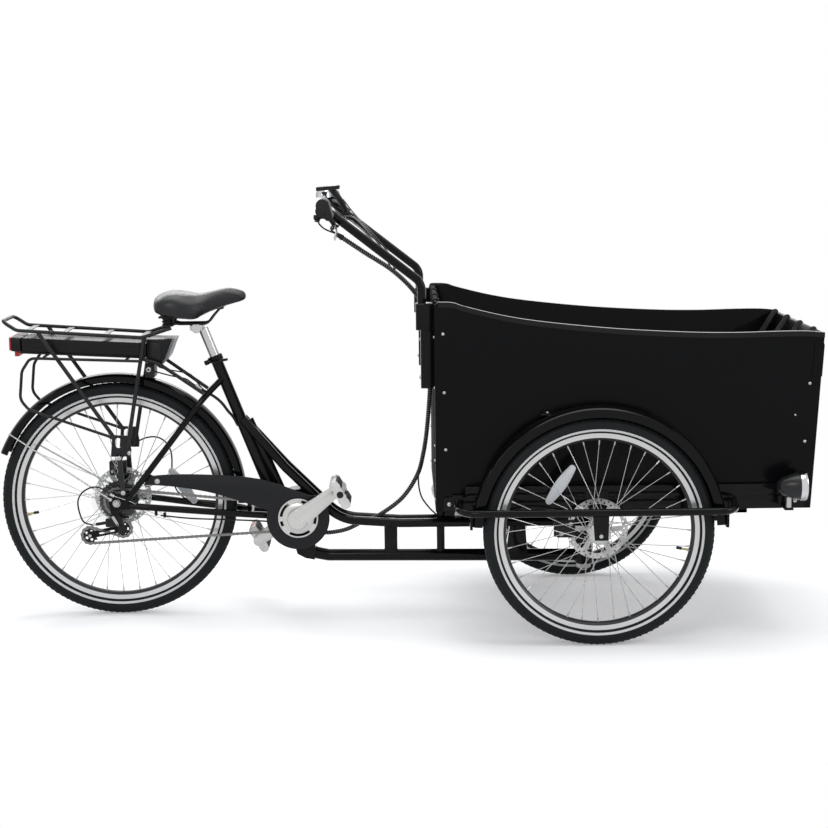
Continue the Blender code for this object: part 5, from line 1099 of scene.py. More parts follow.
def make_drive_unit():
    spindle = 0.0092
    profile = [(spindle, -0.038), (0.060, -0.038), (0.068, -0.036), (0.070, -0.033), (0.070, 0.036),
               (0.067, 0.040), (0.050, 0.042), (0.048, 0.0405), (0.030, 0.0405), (0.028, 0.042),
               (spindle, 0.042)]
    rib = block((0.044, 0.0385, -0.0012), (0.066, 0.0412, 0.0012), 0.0004)
    parts = [(turned(profile, CRANK, sides=72), BLACK_PLASTIC), ringed(rib, BLACK_PLASTIC, 24, CRANK)]
    piece("drive_case", parts, "root", "black_plastic", "drive_unit")

    low, centre = -0.0550, flat(CRANK)
    slots = [arc(centre, 0.0512, start, start + sweep, 10) + arc(centre, 0.0436, start + sweep, start, 10)
             for start, sweep in ((59, 19), (123, 51), (190, 17), (240, 70), (340, 25))]
    bore = circle(centre, spindle, 24)
    cover = plate(circle(centre, 0.0555, 72), low, low + 0.0040, holes=[bore, *slots], edge=0.0008)
    dome = [(spindle, low - 0.0038), (0.030, low - 0.0038), (0.038, low - 0.0022), (0.0425, low),
            (0.0425, low + 0.002), (spindle, low + 0.002)]
    pitch = pitch_radius(SPROCKET_TEETH)
    ring = sheet(toothed(SPROCKET_TEETH, pitch + 0.0003, pitch - 0.0040, CRANK), CHAIN_Y, 0.0009, [bore])
    hub = [(spindle, -0.0385), (0.020, -0.0385), (0.020, -0.0525), (spindle, -0.0525)]
    parts = dressed(CRANK_ALLOY, cover, turned(dome, CRANK), turned(hub, CRANK, sides=36))
    parts.append((ring, COG_STEEL))
    piece("sprocket_and_cover", parts, "sprocket", "alloy", "chainring")


def flat_curve(pairs, steps):
    """A smooth curve through (x, z) pairs."""
    return [tuple(point)[:2] for point in smooth([(x, z, 0) for x, z in pairs], steps)]


def make_chain_guard():
    top = ((-0.422, 0.100), (-0.409, 0.117), (-0.3825, 0.126), (-0.267, 0.127), (-0.108, 0.113),
           (0.029, 0.067), (0.059, 0.067))
    under = ((-0.092, 0.027), (-0.225, 0.072), (-0.323, 0.091), (-0.377, 0.097))
    outline = flat_curve(top, 5) + arc((0, 0), 0.087, 49, -196, 60) + flat_curve(under, 5)
    opening = 0.0567
    face = plate(drawn(near_crank, outline), -0.0575, -0.0545, holes=[circle(flat(CRANK), opening, 72)],
                 edge=0.0010)
    collar = [(opening, -0.0572), (opening, -0.0545), (0.0585, -0.0545), (0.0590, -0.0565), (0.0585, -0.0578)]
    parts = dressed(GUARD_PLASTIC, face, turned(collar, CRANK, sides=72))
    parts.append(bolts([near_axle(0.1115, 0.058, -0.0575)], (0, -1, 0), 1.15))
    piece("guard_plate", parts, "root", "guard_plastic", "chain_guard")


def crank_parts(side):
    """One forged arm: a broad boss, a tapering waist with a ridge, the pedal eye and its axle."""
    pedal = pedal_centre(side)
    inner, outer = 0.066, 0.082
    ends = flat(CRANK), flat(pedal)
    arm = plate(hull_outline(ends[0], 0.0275, ends[1], 0.0140, 20), inner, outer - 0.0035, edge=0.003)
    ridge = plate(hull_outline(ends[0], 0.0225, ends[1], 0.0115, 20), inner + 0.004, outer, edge=0.0025)
    boss = pin(CRANK, inner - 0.0065, outer - 0.001, 0.0285, 56, edge=0.0022)
    eye = pin(pedal, outer - 0.002, outer + 0.0012, 0.0098, 24, edge=0.0008)
    parts = dressed(CRANK_ALLOY, arm, ridge, boss)
    parts += [(pin(pedal, outer - 0.004, 0.184, 0.0058, 18), ZINC), (eye, BLACK_PLASTIC)]
    if side == RIGHT:
        parts.append((pin(CRANK, inner - 0.002, -0.075, 0.0085, 24), ZINC))
    return sided(parts, side)


def pedal_parts(side):
    """A cast cage: end plates, rails with raised grip teeth, a barrel round the axle and two reflectors."""
    inner, outer, half, thick = 0.0925, 0.188, 0.040, 0.014
    teeth = [(-0.030 + 0.0075 * k, 0.0135 if k % 2 else 0.0115) for k in range(1, 8)]
    wavy = arc((half - 0.010, 0), 0.0125, -80, 80, 8) + list(reversed(teeth))
    wavy += arc((0.010 - half, 0), 0.0125, 100, 260, 8) + [(x, -z) for x, z in teeth]
    alloy = [rod((0, inner + 0.001, 0), (0, outer - 0.001, 0), 0.0115, 24),
             block((-half + 0.004, inner + 0.040, -0.004), (half - 0.004, inner + 0.050, 0.004), 0.0012)]
    alloy += [sheet(wavy, y, 0.0035, edge=0.0012) for y in (inner + 0.0035, outer - 0.0035)]
    alloy += [block((x - 0.0035, inner + 0.003, -0.009), (x + 0.0035, outer - 0.003, 0.009), 0.0015)
              for x in (-half + 0.0035, half - 0.0035)]
    grips = [block((x - 0.0100, inner + 0.006, low), (x + 0.0100, outer - 0.006, high), 0.0012)
             for low, high in ((-thick, -0.008), (0.008, thick)) for x in (-0.024, 0.024)]
    parts = dressed(CRANK_ALLOY, *alloy) + dressed(PEDAL_GRIP, *grips)
    if side == LEFT:
        parts += [(block((x - 0.0012, inner + 0.025, -0.006), (x + 0.0012, outer - 0.025, 0.006), 0.0005),
                   RED_LENS) for x in (-half + 0.0002, half - 0.0002)]
    parts.append((rod((0, outer - 0.002, 0), (0, outer + 0.0016, 0), 0.0092, 28, edge=0.0008), BLACK_PLASTIC))
    turn = Matrix.Translation(at_y(pedal_centre(side), 0)) @ Matrix.Rotation(radians(60), 4, "Y")
    return sided([(moved(mesh, turn), look) for mesh, look in parts], side)


def make_cranks():
    for side in (RIGHT, LEFT):
        name = SIDE_NAMES[side]
        piece("crank_arm_" + name, crank_parts(side), "crank", "alloy", "crank_" + name)
        piece("pedal_cage_" + name, pedal_parts(side), "pedal_" + name, "alloy", "pedal_" + name)


def make_derailleur():
    hanger = near_axle(-0.008, -0.028)
    knuckle = GUIDE_PULLEY + Vector((-0.012, 0, 0.016))
    arm = hull_outline(flat(hanger), 0.0095, flat(GUIDE_PULLEY), 0.0110)
    screw = near_axle(-0.060, -0.060, -0.061)
    black = [across(at_y(hanger, -0.0615), 0.0055, 0.0105, 28), plate(arm, -0.0625, -0.0570, edge=0.0015),
             across(at_y(GUIDE_PULLEY, -0.0615), 0.0055, 0.0125, 28),
             rod(near_axle(-0.006, -0.052, -0.061), screw, 0.0045, 16),
             block(near_axle(-0.034, -0.068, -0.0660), near_axle(-0.004, -0.044, -0.0560), 0.003)]
    link = hull_outline(flat(hanger + Vector((-0.004, 0, -0.012))), 0.004, flat(knuckle), 0.0035)
    silver = [pin(hanger, -0.0670, -0.0700, 0.0050, 6), pin(knuckle, -0.0640, -0.0672, 0.0030, 12),
              rod(screw, near_axle(-0.069, -0.0615, -0.061), 0.0030, 12), plate(link, -0.0672, -0.0662)]
    parts = dressed(BLACK_PLASTIC, *black) + dressed(ZINC, *silver)
    piece("derailleur_links", parts, "root", "frame_paint", "derailleur_body")


def make_derailleur_cage():
    ends = Vector(flat(GUIDE_PULLEY)), Vector(flat(TENSION_PULLEY))
    centre, along = (ends[0] + ends[1]) / 2, (ends[1] - ends[0]).normalized()
    window = hull_outline(centre - along * 0.020, 0.0032, centre + along * 0.020, 0.0031, 6)
    parts = []
    for y, wide in ((-0.0510, 0.0064), (-0.0390, 0.0100)):
        outline = hull_outline(ends[0], wide, ends[1], wide)
        parts.append((sheet(outline, y, 0.0008, [window], 0.0003), FRAME_PAINT))
    for pulley in (GUIDE_PULLEY, TENSION_PULLEY):
        parts += dressed(ZINC, across(at_y(pulley, CHAIN_Y), 0.0062, 0.0029, 14),
                         across(at_y(pulley, -0.0518), 0.0008, 0.0048, 6))
    piece("derailleur_arms", parts, "derailleur_cage", "frame_paint", "derailleur_cage")


def make_pulley(name, centre):
    holes = [circle(on_circle(flat(centre), 0.0118, 72 * k), 0.0040, 12) for k in range(5)]
    pitch = pitch_radius(PULLEY_TEETH)
    wheel = sheet(toothed(PULLEY_TEETH, pitch + 0.0002, pitch - 0.0040, centre), CHAIN_Y, 0.0011, holes)
    piece(name + "_wheel", [(wheel, BLACK_PLASTIC)], name, "black_plastic", name)


# Seat

SADDLE_SECTIONS = (
    (-0.106, 0.064, 0.166, 0.156, 0.132, 0.140), (-0.092, 0.100, 0.180, 0.162, 0.122, 0.134),
    (-0.045, 0.111, 0.192, 0.164, 0.110, 0.128), (0.004, 0.096, 0.180, 0.152, 0.098, 0.122),
    (0.026, 0.078, 0.178, 0.150, 0.099, 0.122), (0.052, 0.058, 0.185, 0.160, 0.126, 0.137),
    (0.106, 0.040, 0.197, 0.177, 0.147, 0.154), (0.142, 0.030, 0.195, 0.180, 0.157, 0.161),
    (0.156, 0.014, 0.184, 0.174, 0.163, 0.166))


def saddle_shell(inset):
    """A loft from tail to nose, a little inside its finished size, under a subdivision surface."""
    bm = bmesh.new()
    rings = []
    for x, half, top, side, skirt, under in SADDLE_SECTIONS:
        loop = [(0, top), (0.45 * half, top - 0.002), (0.82 * half, top - 0.010), (half, side),
                (0.97 * half, skirt), (0.78 * half, under)]
        loop += [(-y, z) for y, z in reversed(loop[1:])]
        rings.append([bm.verts.new(on_saddle(x, z, y)) for y, z in loop])
    for before, after in zip(rings, rings[1:]):
        for index in range(len(before)):
            follow = (index + 1) % len(before)
            bm.faces.new((before[index], before[follow], after[follow], after[index]))
    for ring in (rings[0], rings[-1]):
        bm.faces.new(ring)
    bmesh.ops.recalc_face_normals(bm, faces=bm.faces)

    def soften(obj):
        subdivision = obj.modifiers.new("soft", "SUBSURF")
        subdivision.levels = subdivision.render_levels = 3
        shrink = obj.modifiers.new("inset", "DISPLACE")
        shrink.strength = -inset
        shrink.mid_level = 0
        even = obj.modifiers.new("even", "REMESH")
        even.mode = "VOXEL"
        even.voxel_size = 0.0045
    return evaluated(plain_mesh(bm, "shell"), soften)


def stuffed(mesh, limit):
    """The shell blown up as cloth over its foam, no point further than the limit."""
    rest = [vertex.co.copy() for vertex in mesh.vertices]
    frames = 20

    def inflate(obj):
        cloth = obj.modifiers.new("cloth", "CLOTH")
        cloth.settings.quality = 6
        cloth.settings.use_pressure = True
        cloth.settings.uniform_pressure_force = 4
        cloth.settings.tension_stiffness = 20
        cloth.settings.effector_weights.gravity = 0
        cloth.point_cache.frame_start = 1
        cloth.point_cache.frame_end = frames
        for step in range(1, frames + 1):
            scene.frame_set(step)
    made = evaluated(mesh, inflate)
    scene.frame_set(1)
    for vertex, start in zip(made.vertices, rest):
        travel = vertex.co - start
        if travel.length > limit:
            vertex.co = start + travel.normalized() * limit
    return made


def make_saddle():
    def settle(obj):
        ease = obj.modifiers.new("ease", "SMOOTH")
        ease.factor = 0.5
        ease.iterations = 8
        fine = obj.modifiers.new("fine", "SUBSURF")
        fine.levels = fine.render_levels = 1
    shape = evaluated(stuffed(saddle_shell(0.0022), 0.004), settle)
    cover = piece("saddle_cover", [(shape, SADDLE_COVER)], None, "saddle_cover", "saddle", sharp=80)
    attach(cover, "seatpost")


def make_seat_post():
    head = on_saddle(0.013, 0.0865)
    parts = [rod(seat_point(0.250), seat_point(-0.090), 0.0135, 36), across(head, 0.0245, 0.0110, 32),
             block(head - Vector((0.018, 0.024, 0.007)), head + Vector((0.018, 0.024, 0.009)), 0.003),
             pin(head, -0.0230, -0.0250, 0.0135, 40, edge=0.0010)]
    piece("seat_pillar", dressed(POST_ALLOY, *parts), "seatpost", "alloy", "seatpost")


def make_saddle_rails():
    """The two rails with their ribbed bumpers, the bridge under the tail and the nose block."""
    rail_z, rib = 0.0983, 0.0085
    steel = []
    black = [block(on_saddle(-0.086, 0.117, -0.056), on_saddle(-0.038, 0.1225, 0.056), 0.002),
             block(on_saddle(0.068, 0.137, -0.017), on_saddle(0.088, 0.152, 0.017), 0.003)]
    groove, crest = 0.0135, 0.0168
    bumper = [(0, 0)]
    for up in (0, rib, 2 * rib):
        bumper += [(groove, up + 0.001), (crest, up + 0.0035), (crest, up + 0.006), (groove, up + rib)]
    for side in (RIGHT, LEFT):
        route = [on_saddle(x, z, side * y) for x, z, y in (
            (0.078, 0.140, 0.011), (0.060, 0.120, 0.018), (0.044, rail_z, 0.022), (-0.036, rail_z, 0.022),
            (-0.062, rail_z + 0.008, 0.033))]
        foot = on_saddle(-0.062, 0.094, side * 0.036)
        steel += [swept(bent(route, 0.03), 0.0035), rod(foot, foot + Vector((0, 0, 0.0022)), 0.0150, 28)]
        black.append(turned(bumper + [(0, 0.026)], foot, UPRIGHT, 32, ring=False))
    parts = dressed(COG_STEEL, *steel) + dressed(BLACK_PLASTIC, *black)
    piece("saddle_frame", parts, "seatpost", "steel", "saddle_rails")


def make_seat_clamp():
    screw = seat_point(0.0, -0.0235)
    collar = ring_on(seat_point(-0.001), SEAT_AXIS, 0.0163, 0.0208, 0.008, 36)
    parts = dressed(FRAME_PAINT, collar, pin(screw, -0.0148, 0.016, 0.0065, 24))
    parts.append((pin(screw, 0.0150, 0.0185, 0.0050, 6), ZINC))
    piece("seat_collar", parts, "root", "frame_paint", "seat_clamp")
    pivot = seat_point(0.0, -0.0245, -0.0205)
    hub = rod(pivot - SEAT_AXIS * 0.0065, pivot + SEAT_AXIS * 0.0065, 0.0064, 24)
    level = Vector((0.986, 0, 0.167))
    route = smooth([pivot + level * reach + Vector((0, out, 0))
                    for reach, out in ((-0.006, 0), (0.014, -0.006), (0.036, -0.010), (0.060, -0.010))], 5)
    radii = [0.0032 + 0.0016 * sin(pi * min(1, k / (len(route) - 1) * 0.8)) for k in range(len(route))]
    parts = dressed(FRAME_PAINT, hub, swept(route, radii, 16, squash=0.6))
    piece("quick_release", parts, "seat_lever", "frame_paint", "seat_lever")


# Rack, battery and rear fender

def make_rack():
    y, leg_y, loop_y, stay_y = 0.075, 0.0778, 0.082, 0.0612
    half = [near_axle(x, z, y) for x, z in ((0.165, 0.483), (0.0855, 0.458), (-0.028, 0.4646),
                                            (-0.193, 0.4775), (-0.253, 0.481), (-0.291, 0.506))]
    tray = ((-0.250, 0.4192), (0.080, 0.4018), (0.080, 0.3978), (-0.250, 0.4152))
    paint = [swept(bent(half + [at_y(point, -y) for point in reversed(half)], 0.030, 6), 0.005, 16),
             block(near_axle(0.084, 0.3425, -0.030), near_axle(0.110, 0.3810, 0.030), 0.002),
             sheet(drawn(near_axle, tray), 0, 0.050, edge=0.0008),
             across(near_axle(-0.180, 0.409), loop_y, 0.0035, 14),
             across(near_axle(0.040, 0.3975), loop_y, 0.0035, 14),
             across(near_axle(0.080, 0.3975), stay_y, 0.004, 14)]
    slats = [block(near_axle(x - 0.008, z - 0.0015, -y), near_axle(x + 0.008, z + 0.0015, y))
             for x, z in ((-0.226, 0.4797), (-0.129, 0.4724), (-0.019, 0.4641), (0.084, 0.4585))]
    foot = ((-0.010, 0.132), (0.045, 0.132), (0.047, 0.150), (0.040, 0.190), (-0.004, 0.192))
    strut = ((0.006, 0.138), (0.0135, 0.024), (0.0265, 0.024), (0.019, 0.138))
    window = hull_outline(flat(near_axle(0.0116, 0.164)), 0.008, flat(near_axle(0.0116, 0.176)), 0.0079, 8)
    loop = ((0.080, 0.3945), (-0.194, 0.405), (-0.219, 0.405), (-0.242, 0.371), (-0.250, 0.293),
            (-0.2275, 0.265), (-0.015, 0.190), (0.000, 0.182))
    parts = dressed(GREY_PLASTIC, *slats)
    for side in (RIGHT, LEFT):
        front = near_axle(0.080, 0.3985, side * stay_y)
        stay = [front, near_axle(0.125, 0.386, side * stay_y), near_axle(0.246, 0.300, side * 0.0550)]
        paint += [rod(near_axle(-0.196, 0.475, side * y), near_axle(0.004, 0.180, side * leg_y), 0.0055, 16),
                  rod(near_axle(0.091, 0.459, side * y), near_axle(0.033, 0.1375, side * leg_y), 0.0055, 16),
                  sheet(drawn(near_axle, foot), side * leg_y, 0.0015, [window], 0.0006),
                  sheet(drawn(near_axle, strut), side * leg_y, 0.0015, edge=0.0006),
                  pin(near_axle(0.020, 0.031), side * 0.071, side * leg_y, 0.0055, 16),
                  swept(bent([near_axle(x, z, side * loop_y) for x, z in loop], 0.036), 0.004),
                  swept(bent(stay, 0.04, 6), 0.005),
                  rod(front, near_axle(0.080, 0.3945, side * loop_y), 0.005, 14)]
        heads = [near_axle(x, z, side * (leg_y + 0.0015)) for x, z in ((0.0125, 0.128), (0.020, 0.031),
                                                                       (0.040, 0.142))]
        parts.append(bolts(heads, (0, side, 0)))
    piece("luggage_rack", dressed(RACK_PAINT, *paint) + parts, "root", "frame_paint", "rear_rack")


def battery_slice(x_low, x_high, bottom, top=0.0395):
    """The outline of a slice of the pack, which lies on the tray's slope."""
    tray_x, tray_z, slope = 0.0935, 0.4019, 0.0526
    return drawn(near_axle, [(x, tray_z + (tray_x - x) * slope + up) for x, up in (
        (x_low, bottom), (x_high, bottom), (x_high, top), (x_low, top))])


def make_battery():
    case = [sheet(battery_slice(-0.246, 0.0935, 0.004), 0, 0.058, edge=0.006),
            sheet(battery_slice(-0.270, 0.0925, 0.0, 0.0055), 0, 0.050, edge=0.001),
            sheet(battery_slice(-0.2745, -0.2472, 0.001), 0, 0.060, edge=0.004)]
    case += [sheet(battery_slice(-0.240, 0.060, up, up + 0.0016), side * 0.058, 0.001, edge=0.0004)
             for side in (RIGHT, LEFT) for up in (0.014, 0.026)]
    lenses = [sheet(battery_slice(-0.2785, -0.2735, 0.003), 0, 0.058, edge=0.002),
              block(near_axle(-0.266, 0.4075, -0.050), near_axle(-0.2535, 0.4225, 0.050), 0.0015)]
    parts = dressed(CASE_PLASTIC, *case) + dressed(RED_LENS, *lenses)
    piece("battery_pack", parts, "battery", "black_plastic", "battery")


def make_battery_dock():
    dock = ((0.0942, 0.3813), (0.1341, 0.3828), (0.1464, 0.3992), (0.1666, 0.4494), (0.0942, 0.451))
    brow = ((0.1321, 0.3828), (0.1381, 0.3828), (0.1504, 0.3985), (0.1704, 0.4494), (0.1636, 0.4494),
            (0.1434, 0.3992))
    leg_bolt = Vector((-0.677, -0.083, 0.697))
    parts = [(sheet(drawn(near_axle, dock), 0, 0.0535, edge=0.003), CASE_PLASTIC),
             (sheet(drawn(near_axle, brow), 0, 0.0555, edge=0.0012), GREY_PLASTIC),
             (block(near_axle(0.104, 0.392, -0.0550), near_axle(0.132, 0.440, -0.0525)), BLACK_PLASTIC),
             (rod(leg_bolt, leg_bolt + Vector((0, 0.030, 0)), 0.0036, 16), ZINC),
             (rod(leg_bolt, leg_bolt + Vector((0, 0.004, 0)), 0.0067, 28, edge=0.001), ZINC)]
    piece("battery_dock", parts, "root", "black_plastic", "controller_box")


def fender_shell(radius, centre, start, end, lip):
    """A rolled blade between two angles in degrees: crowned, with deep turned-in lips along both edges."""
    half, wall = 0.028, 0.002
    crown = [(radius - down, -half * share)
             for down, share in ((lip, 1), (0.0075, 1), (0.0034, 0.80), (0.0014, 0.5), (0.0002, 0.2))]
    crown += [(r, -y) for r, y in reversed(crown)]
    profile = crown + [(r - wall, y * 0.97) for r, y in reversed(crown)]
    return turned(profile, centre, start=-radians(end), sweep=radians(end - start))


def make_rear_fender():
    parts = [(fender_shell(0.3535, REAR_AXLE, -2, 157, 0.0215), FENDER_GLOSS)]
    for side in (RIGHT, LEFT):
        wire = [near_axle(-0.300, 0.178), near_axle(-0.296, 0.190, side * 0.0285),
                near_axle(-0.016, 0.012, side * 0.0766)]
        parts += dressed(ZINC, swept(bent(wire, 0.012, 5), 0.0024, 10),
                         across(near_axle(-0.016, 0.012, side * 0.0772), 0.0012, 0.0050, 16))
    piece("rear_mudguard", parts, "root", "fender_gloss", "rear_fender")
    adapter = block(near_axle(-0.030, 0.064, 0.0400), near_axle(-0.012, 0.088, 0.0425))
    heads = [near_axle(-0.027, 0.068, 0.0400), near_axle(-0.015, 0.084, 0.0400)]
    parts = [(carried_over("rear_brake_caliper", 0.0015), BLACK_PLASTIC), (adapter, COG_STEEL),
             bolts(heads, (0, -1, 0), 0.7)]
    piece("rear_caliper", parts, "root", "black_plastic", "rear_brake_caliper")


# Steered chassis and box

CROSS_BARS = ((-0.353, -0.293), (-0.070, 0.070), (0.335, 0.395))
CROSS_LOW, CROSS_HIGH = 0.333, 0.3424
BOX_FLUSH, RAIL_OUT = 0.3123, 0.317


def chassis_middle():
    """The cross bars, the spine, the sector that runs on the glide pad, and the king pin."""
    sector = arc((STEER_X, 0), 0.426, 140, 220, 40) + arc((STEER_X, 0), 0.376, 220, 140, 40)
    made = [block(at(rear, CROSS_LOW, -RAIL_OUT), at(front, CROSS_HIGH, RAIL_OUT), 0.0015)
            for rear, front in CROSS_BARS]
    return made + [block(at(-0.415, CROSS_LOW, -0.030), at(0.390, CROSS_HIGH, 0.030), 0.0015),
                   plate(sector, CROSS_LOW, CROSS_HIGH, "XY", edge=0.001),
                   rod(at(0, 0.2755), at(0, CROSS_LOW + 0.004), 0.032, 40, edge=0.002),
                   rod(at(0, 0.111), at(0, CROSS_LOW + 0.002), 0.012, 28)]


def chassis_side():
    """The left side's rails, wheel carrier, outer axle plate and guard bar."""
    carrier_y = 0.3283
    hanger = ((-0.0158, 0.287), (0.0195, 0.287), (0.0215, 0.360), (-0.0215, 0.360))
    bar = [at(-0.363, 0.369, 0.314), at(-0.363, 0.360, 0.425), at(0.347, 0.360, 0.425),
           at(0.359, 0.369, 0.314)]
    made = [block(at(-0.343, 0.380, BOX_FLUSH), at(0.477, 0.410, 0.322), 0.0012),
            block(at(-0.400, 0.346, BOX_FLUSH), at(0.545, 0.382, RAIL_OUT), 0.0012),
            block(at(-0.030, 0.262, RAIL_OUT - 0.001), at(0.030, 0.398, carrier_y), 0.0015),
            block(at(-0.112, 0.276, RAIL_OUT - 0.001), at(0, 0.345, carrier_y), 0.0015),
            rod(at(0, FRONT_TYRE, RAIL_OUT), at(0, FRONT_TYRE, 0.4350), 0.0056, 16),
            sheet(drawn(at, hanger), 0.425, 0.003, edge=0.0012), swept(bent(bar, 0.050, 12), 0.010, 24)]
    made += [block(at(rear, CROSS_LOW, BOX_FLUSH), at(front, 0.349, RAIL_OUT))
             for rear, front in CROSS_BARS]
    return made + [block(at(x - 0.014, 0.350, BOX_FLUSH), at(x + 0.014, 0.388, RAIL_OUT + 0.003))
                   for x in (-0.363, 0.359)]


def make_steer_chassis():
    lamp_bracket = [block(at(0.482, 0.3492, BOX_FLUSH), at(0.505, 0.3547, 0.372)),
                    block(at(0.476, 0.3460, BOX_FLUSH), at(0.511, 0.3780, 0.3185))]
    paint = chassis_middle() + [for_side(mesh, RIGHT) for mesh in lamp_bracket]
    parts = dressed(ZINC, rod(at(0, 0.1135), at(0, 0.1275), 0.020, 6, edge=0.0015),
                    rod(at(0, 0.108), at(0, 0.114), 0.011, 24))
    for side in (RIGHT, LEFT):
        paint += [for_side(mesh, side) for mesh in chassis_side()]
        parts += nut(at(0, FRONT_TYRE, side * 0.428), side, 0.0048, FRAME_PAINT)
        heads = [at(x, 0.364, side * RAIL_OUT) for x in (-0.385, -0.315, 0.300, 0.520)]
        parts.append(bolts(heads, (0, side, 0), 0.85))
    parts += dressed(FRAME_PAINT, *paint)
    piece("steering_chassis", parts, "steering", "frame_paint", "steer_chassis")


def make_front_fender(side):
    name = SIDE_NAMES[side]
    gloss = [fender_shell(0.331, at(0, FRONT_TYRE, TRACK_HALF), 3.5, 176.5, 0.0265),
             block(at(-0.148, 0.600, BOX_FLUSH), at(-0.068, 0.606, 0.353))]
    gloss += [block(at(x - 0.0035, 0.312, 0.3500), at(x + 0.0035, 0.356, 0.4000)) for x in (-0.3305, 0.3305)]
    parts = dressed(FENDER_GLOSS, *gloss)
    parts.append(bolts([at(x, 0.606, 0.332) for x in (-0.130, -0.086)], UPRIGHT, 0.8))
    piece("front_mudguard_" + name, sided(parts, side), "steering", "fender_gloss", "fender_front_" + name)


def make_front_caliper(side):
    name = SIDE_NAMES[side]
    heads = [at(x, z, side * 0.3485) for x, z in ((-0.094, 0.288), (-0.070, 0.314))]
    hose = smooth([at(-0.100, 0.318, side * 0.338), at(-0.135, 0.345, side * 0.338),
                   at(-0.190, 0.352, side * 0.330), at(-0.250, 0.335, side * 0.325)])
    parts = [(carried_over("caliper_front_" + name, 0.0012), BLACK_PLASTIC),
             bolts(heads, (0, side, 0), 0.9), (swept(hose, 0.0025, 10), CABLE_JACKET)]
    piece("front_caliper_" + name, parts, "steering", "black_plastic", "caliper_front_" + name)


def make_headlight():
    shell = [(0, -0.0326), (0.006, -0.0320), (0.012, -0.0294), (0.023, -0.0176), (0.030, 0.0014),
             (0.0350, 0.0170), (0.0355, 0.0264), (0.030, 0.0264), (0, 0.0264)]
    bezel = [(0.0350, 0.0330), (0.0372, 0.0340), (0.0378, 0.0370), (0.0378, 0.0490), (0.0368, 0.0512),
             (0.0345, 0.0516), (0.0335, 0.0500), (0.0335, 0.0340)]
    lens = [(0, 0.0340), (0.0335, 0.0340), (0.0335, 0.0490), (0.024, 0.0516), (0.012, 0.0526), (0, 0.0528)]
    mouth = HEADLIGHT - Vector((0.008, 0, 0))
    stem = rod((HEADLIGHT.x, HEADLIGHT.y, 0.3550), HEADLIGHT - Vector((0, 0, 0.028)), 0.0075, 24)
    parts = [(turned(shell, HEADLIGHT, AHEAD, 56, ring=False), HOUSING),
             (turned(bezel, mouth, AHEAD, 56), CHROME),
             (turned(lens, mouth, AHEAD, 48, ring=False), LAMP_LENS), (stem, HUB_ALLOY)]
    piece("front_lamp", parts, "headlight", "chrome", "headlight")


BOX_INNER = BOX_HALF - PANEL
BOX_BETWEEN = BOX_INNER - 0.0003
FRONT_TOP = 0.804
BOX_INSIDE_X = BOX_REAR_X + PANEL
BOLT_COLUMNS = (-0.285, 0.285)


def front_x(height):
    """The front panel's outer face at a height."""
    low, low_x, top_x = 0.346, 0.562, 0.589
    return STEER_X + low_x + (height - low) * (top_x - low_x) / (FRONT_TOP - low)


def box_top_edge():
    points = ((-0.410, 0.893), (-0.372, 0.891), (-0.341, 0.881), (-0.244, 0.857), (-0.135, 0.839),
              (0.045, 0.820), (0.224, 0.809), (0.3525, 0.806), (0.4666, 0.808), (0.541, 0.808),
              (0.589, FRONT_TOP))
    return [(STEER_X + x, z) for x, z in flat_curve(points, 8)]


def make_side_panel(side):
    """A side panel with the trim along its rim, its bolts and its front corner bracket."""
    name, edge_line, out = SIDE_NAMES[side], box_top_edge(), side * BOX_HALF
    outline = [(BOX_REAR_X, BOX_BOTTOM), (BOX_REAR_X, 0.887), *edge_line, (front_x(BOX_BOTTOM), BOX_BOTTOM)]
    trim = [(x, z + 0.0006) for x, z in edge_line] + [(x, z - 0.013) for x, z in reversed(edge_line)]
    corner = [(front_x(z) + x, z) for x, z in ((-0.024, 0.690), (0.0018, 0.690), (0.0018, 0.772),
                                               (-0.003, 0.785), (-0.024, 0.785))]
    heads = ((0.117, 0.811), (0.119, 0.658), (0.122, 0.508), (0.127, 0.3645), (1.068, 0.6725), (1.058, 0.520))
    parts = sided([(plate(outline, BOX_INNER, BOX_HALF, edge=0.0022), BOX_LACQUER),
                   (plate(trim, BOX_INNER + 0.0005, BOX_HALF + 0.0010, edge=0.0008), BOX_TRIM),
                   (plate(corner, BOX_INNER - 0.010, BOX_HALF + 0.0016, edge=0.0006), BOX_LACQUER)], side)
    parts += [bolts([(x, out, z) for x, z in heads], (0, side, 0), 0.62),
              bolts([(1.032, out, 0.590)], (0, side, 0), 0.4)]
    piece("side_panel_" + name, parts, "steering", "box_gloss", "panel_" + name)


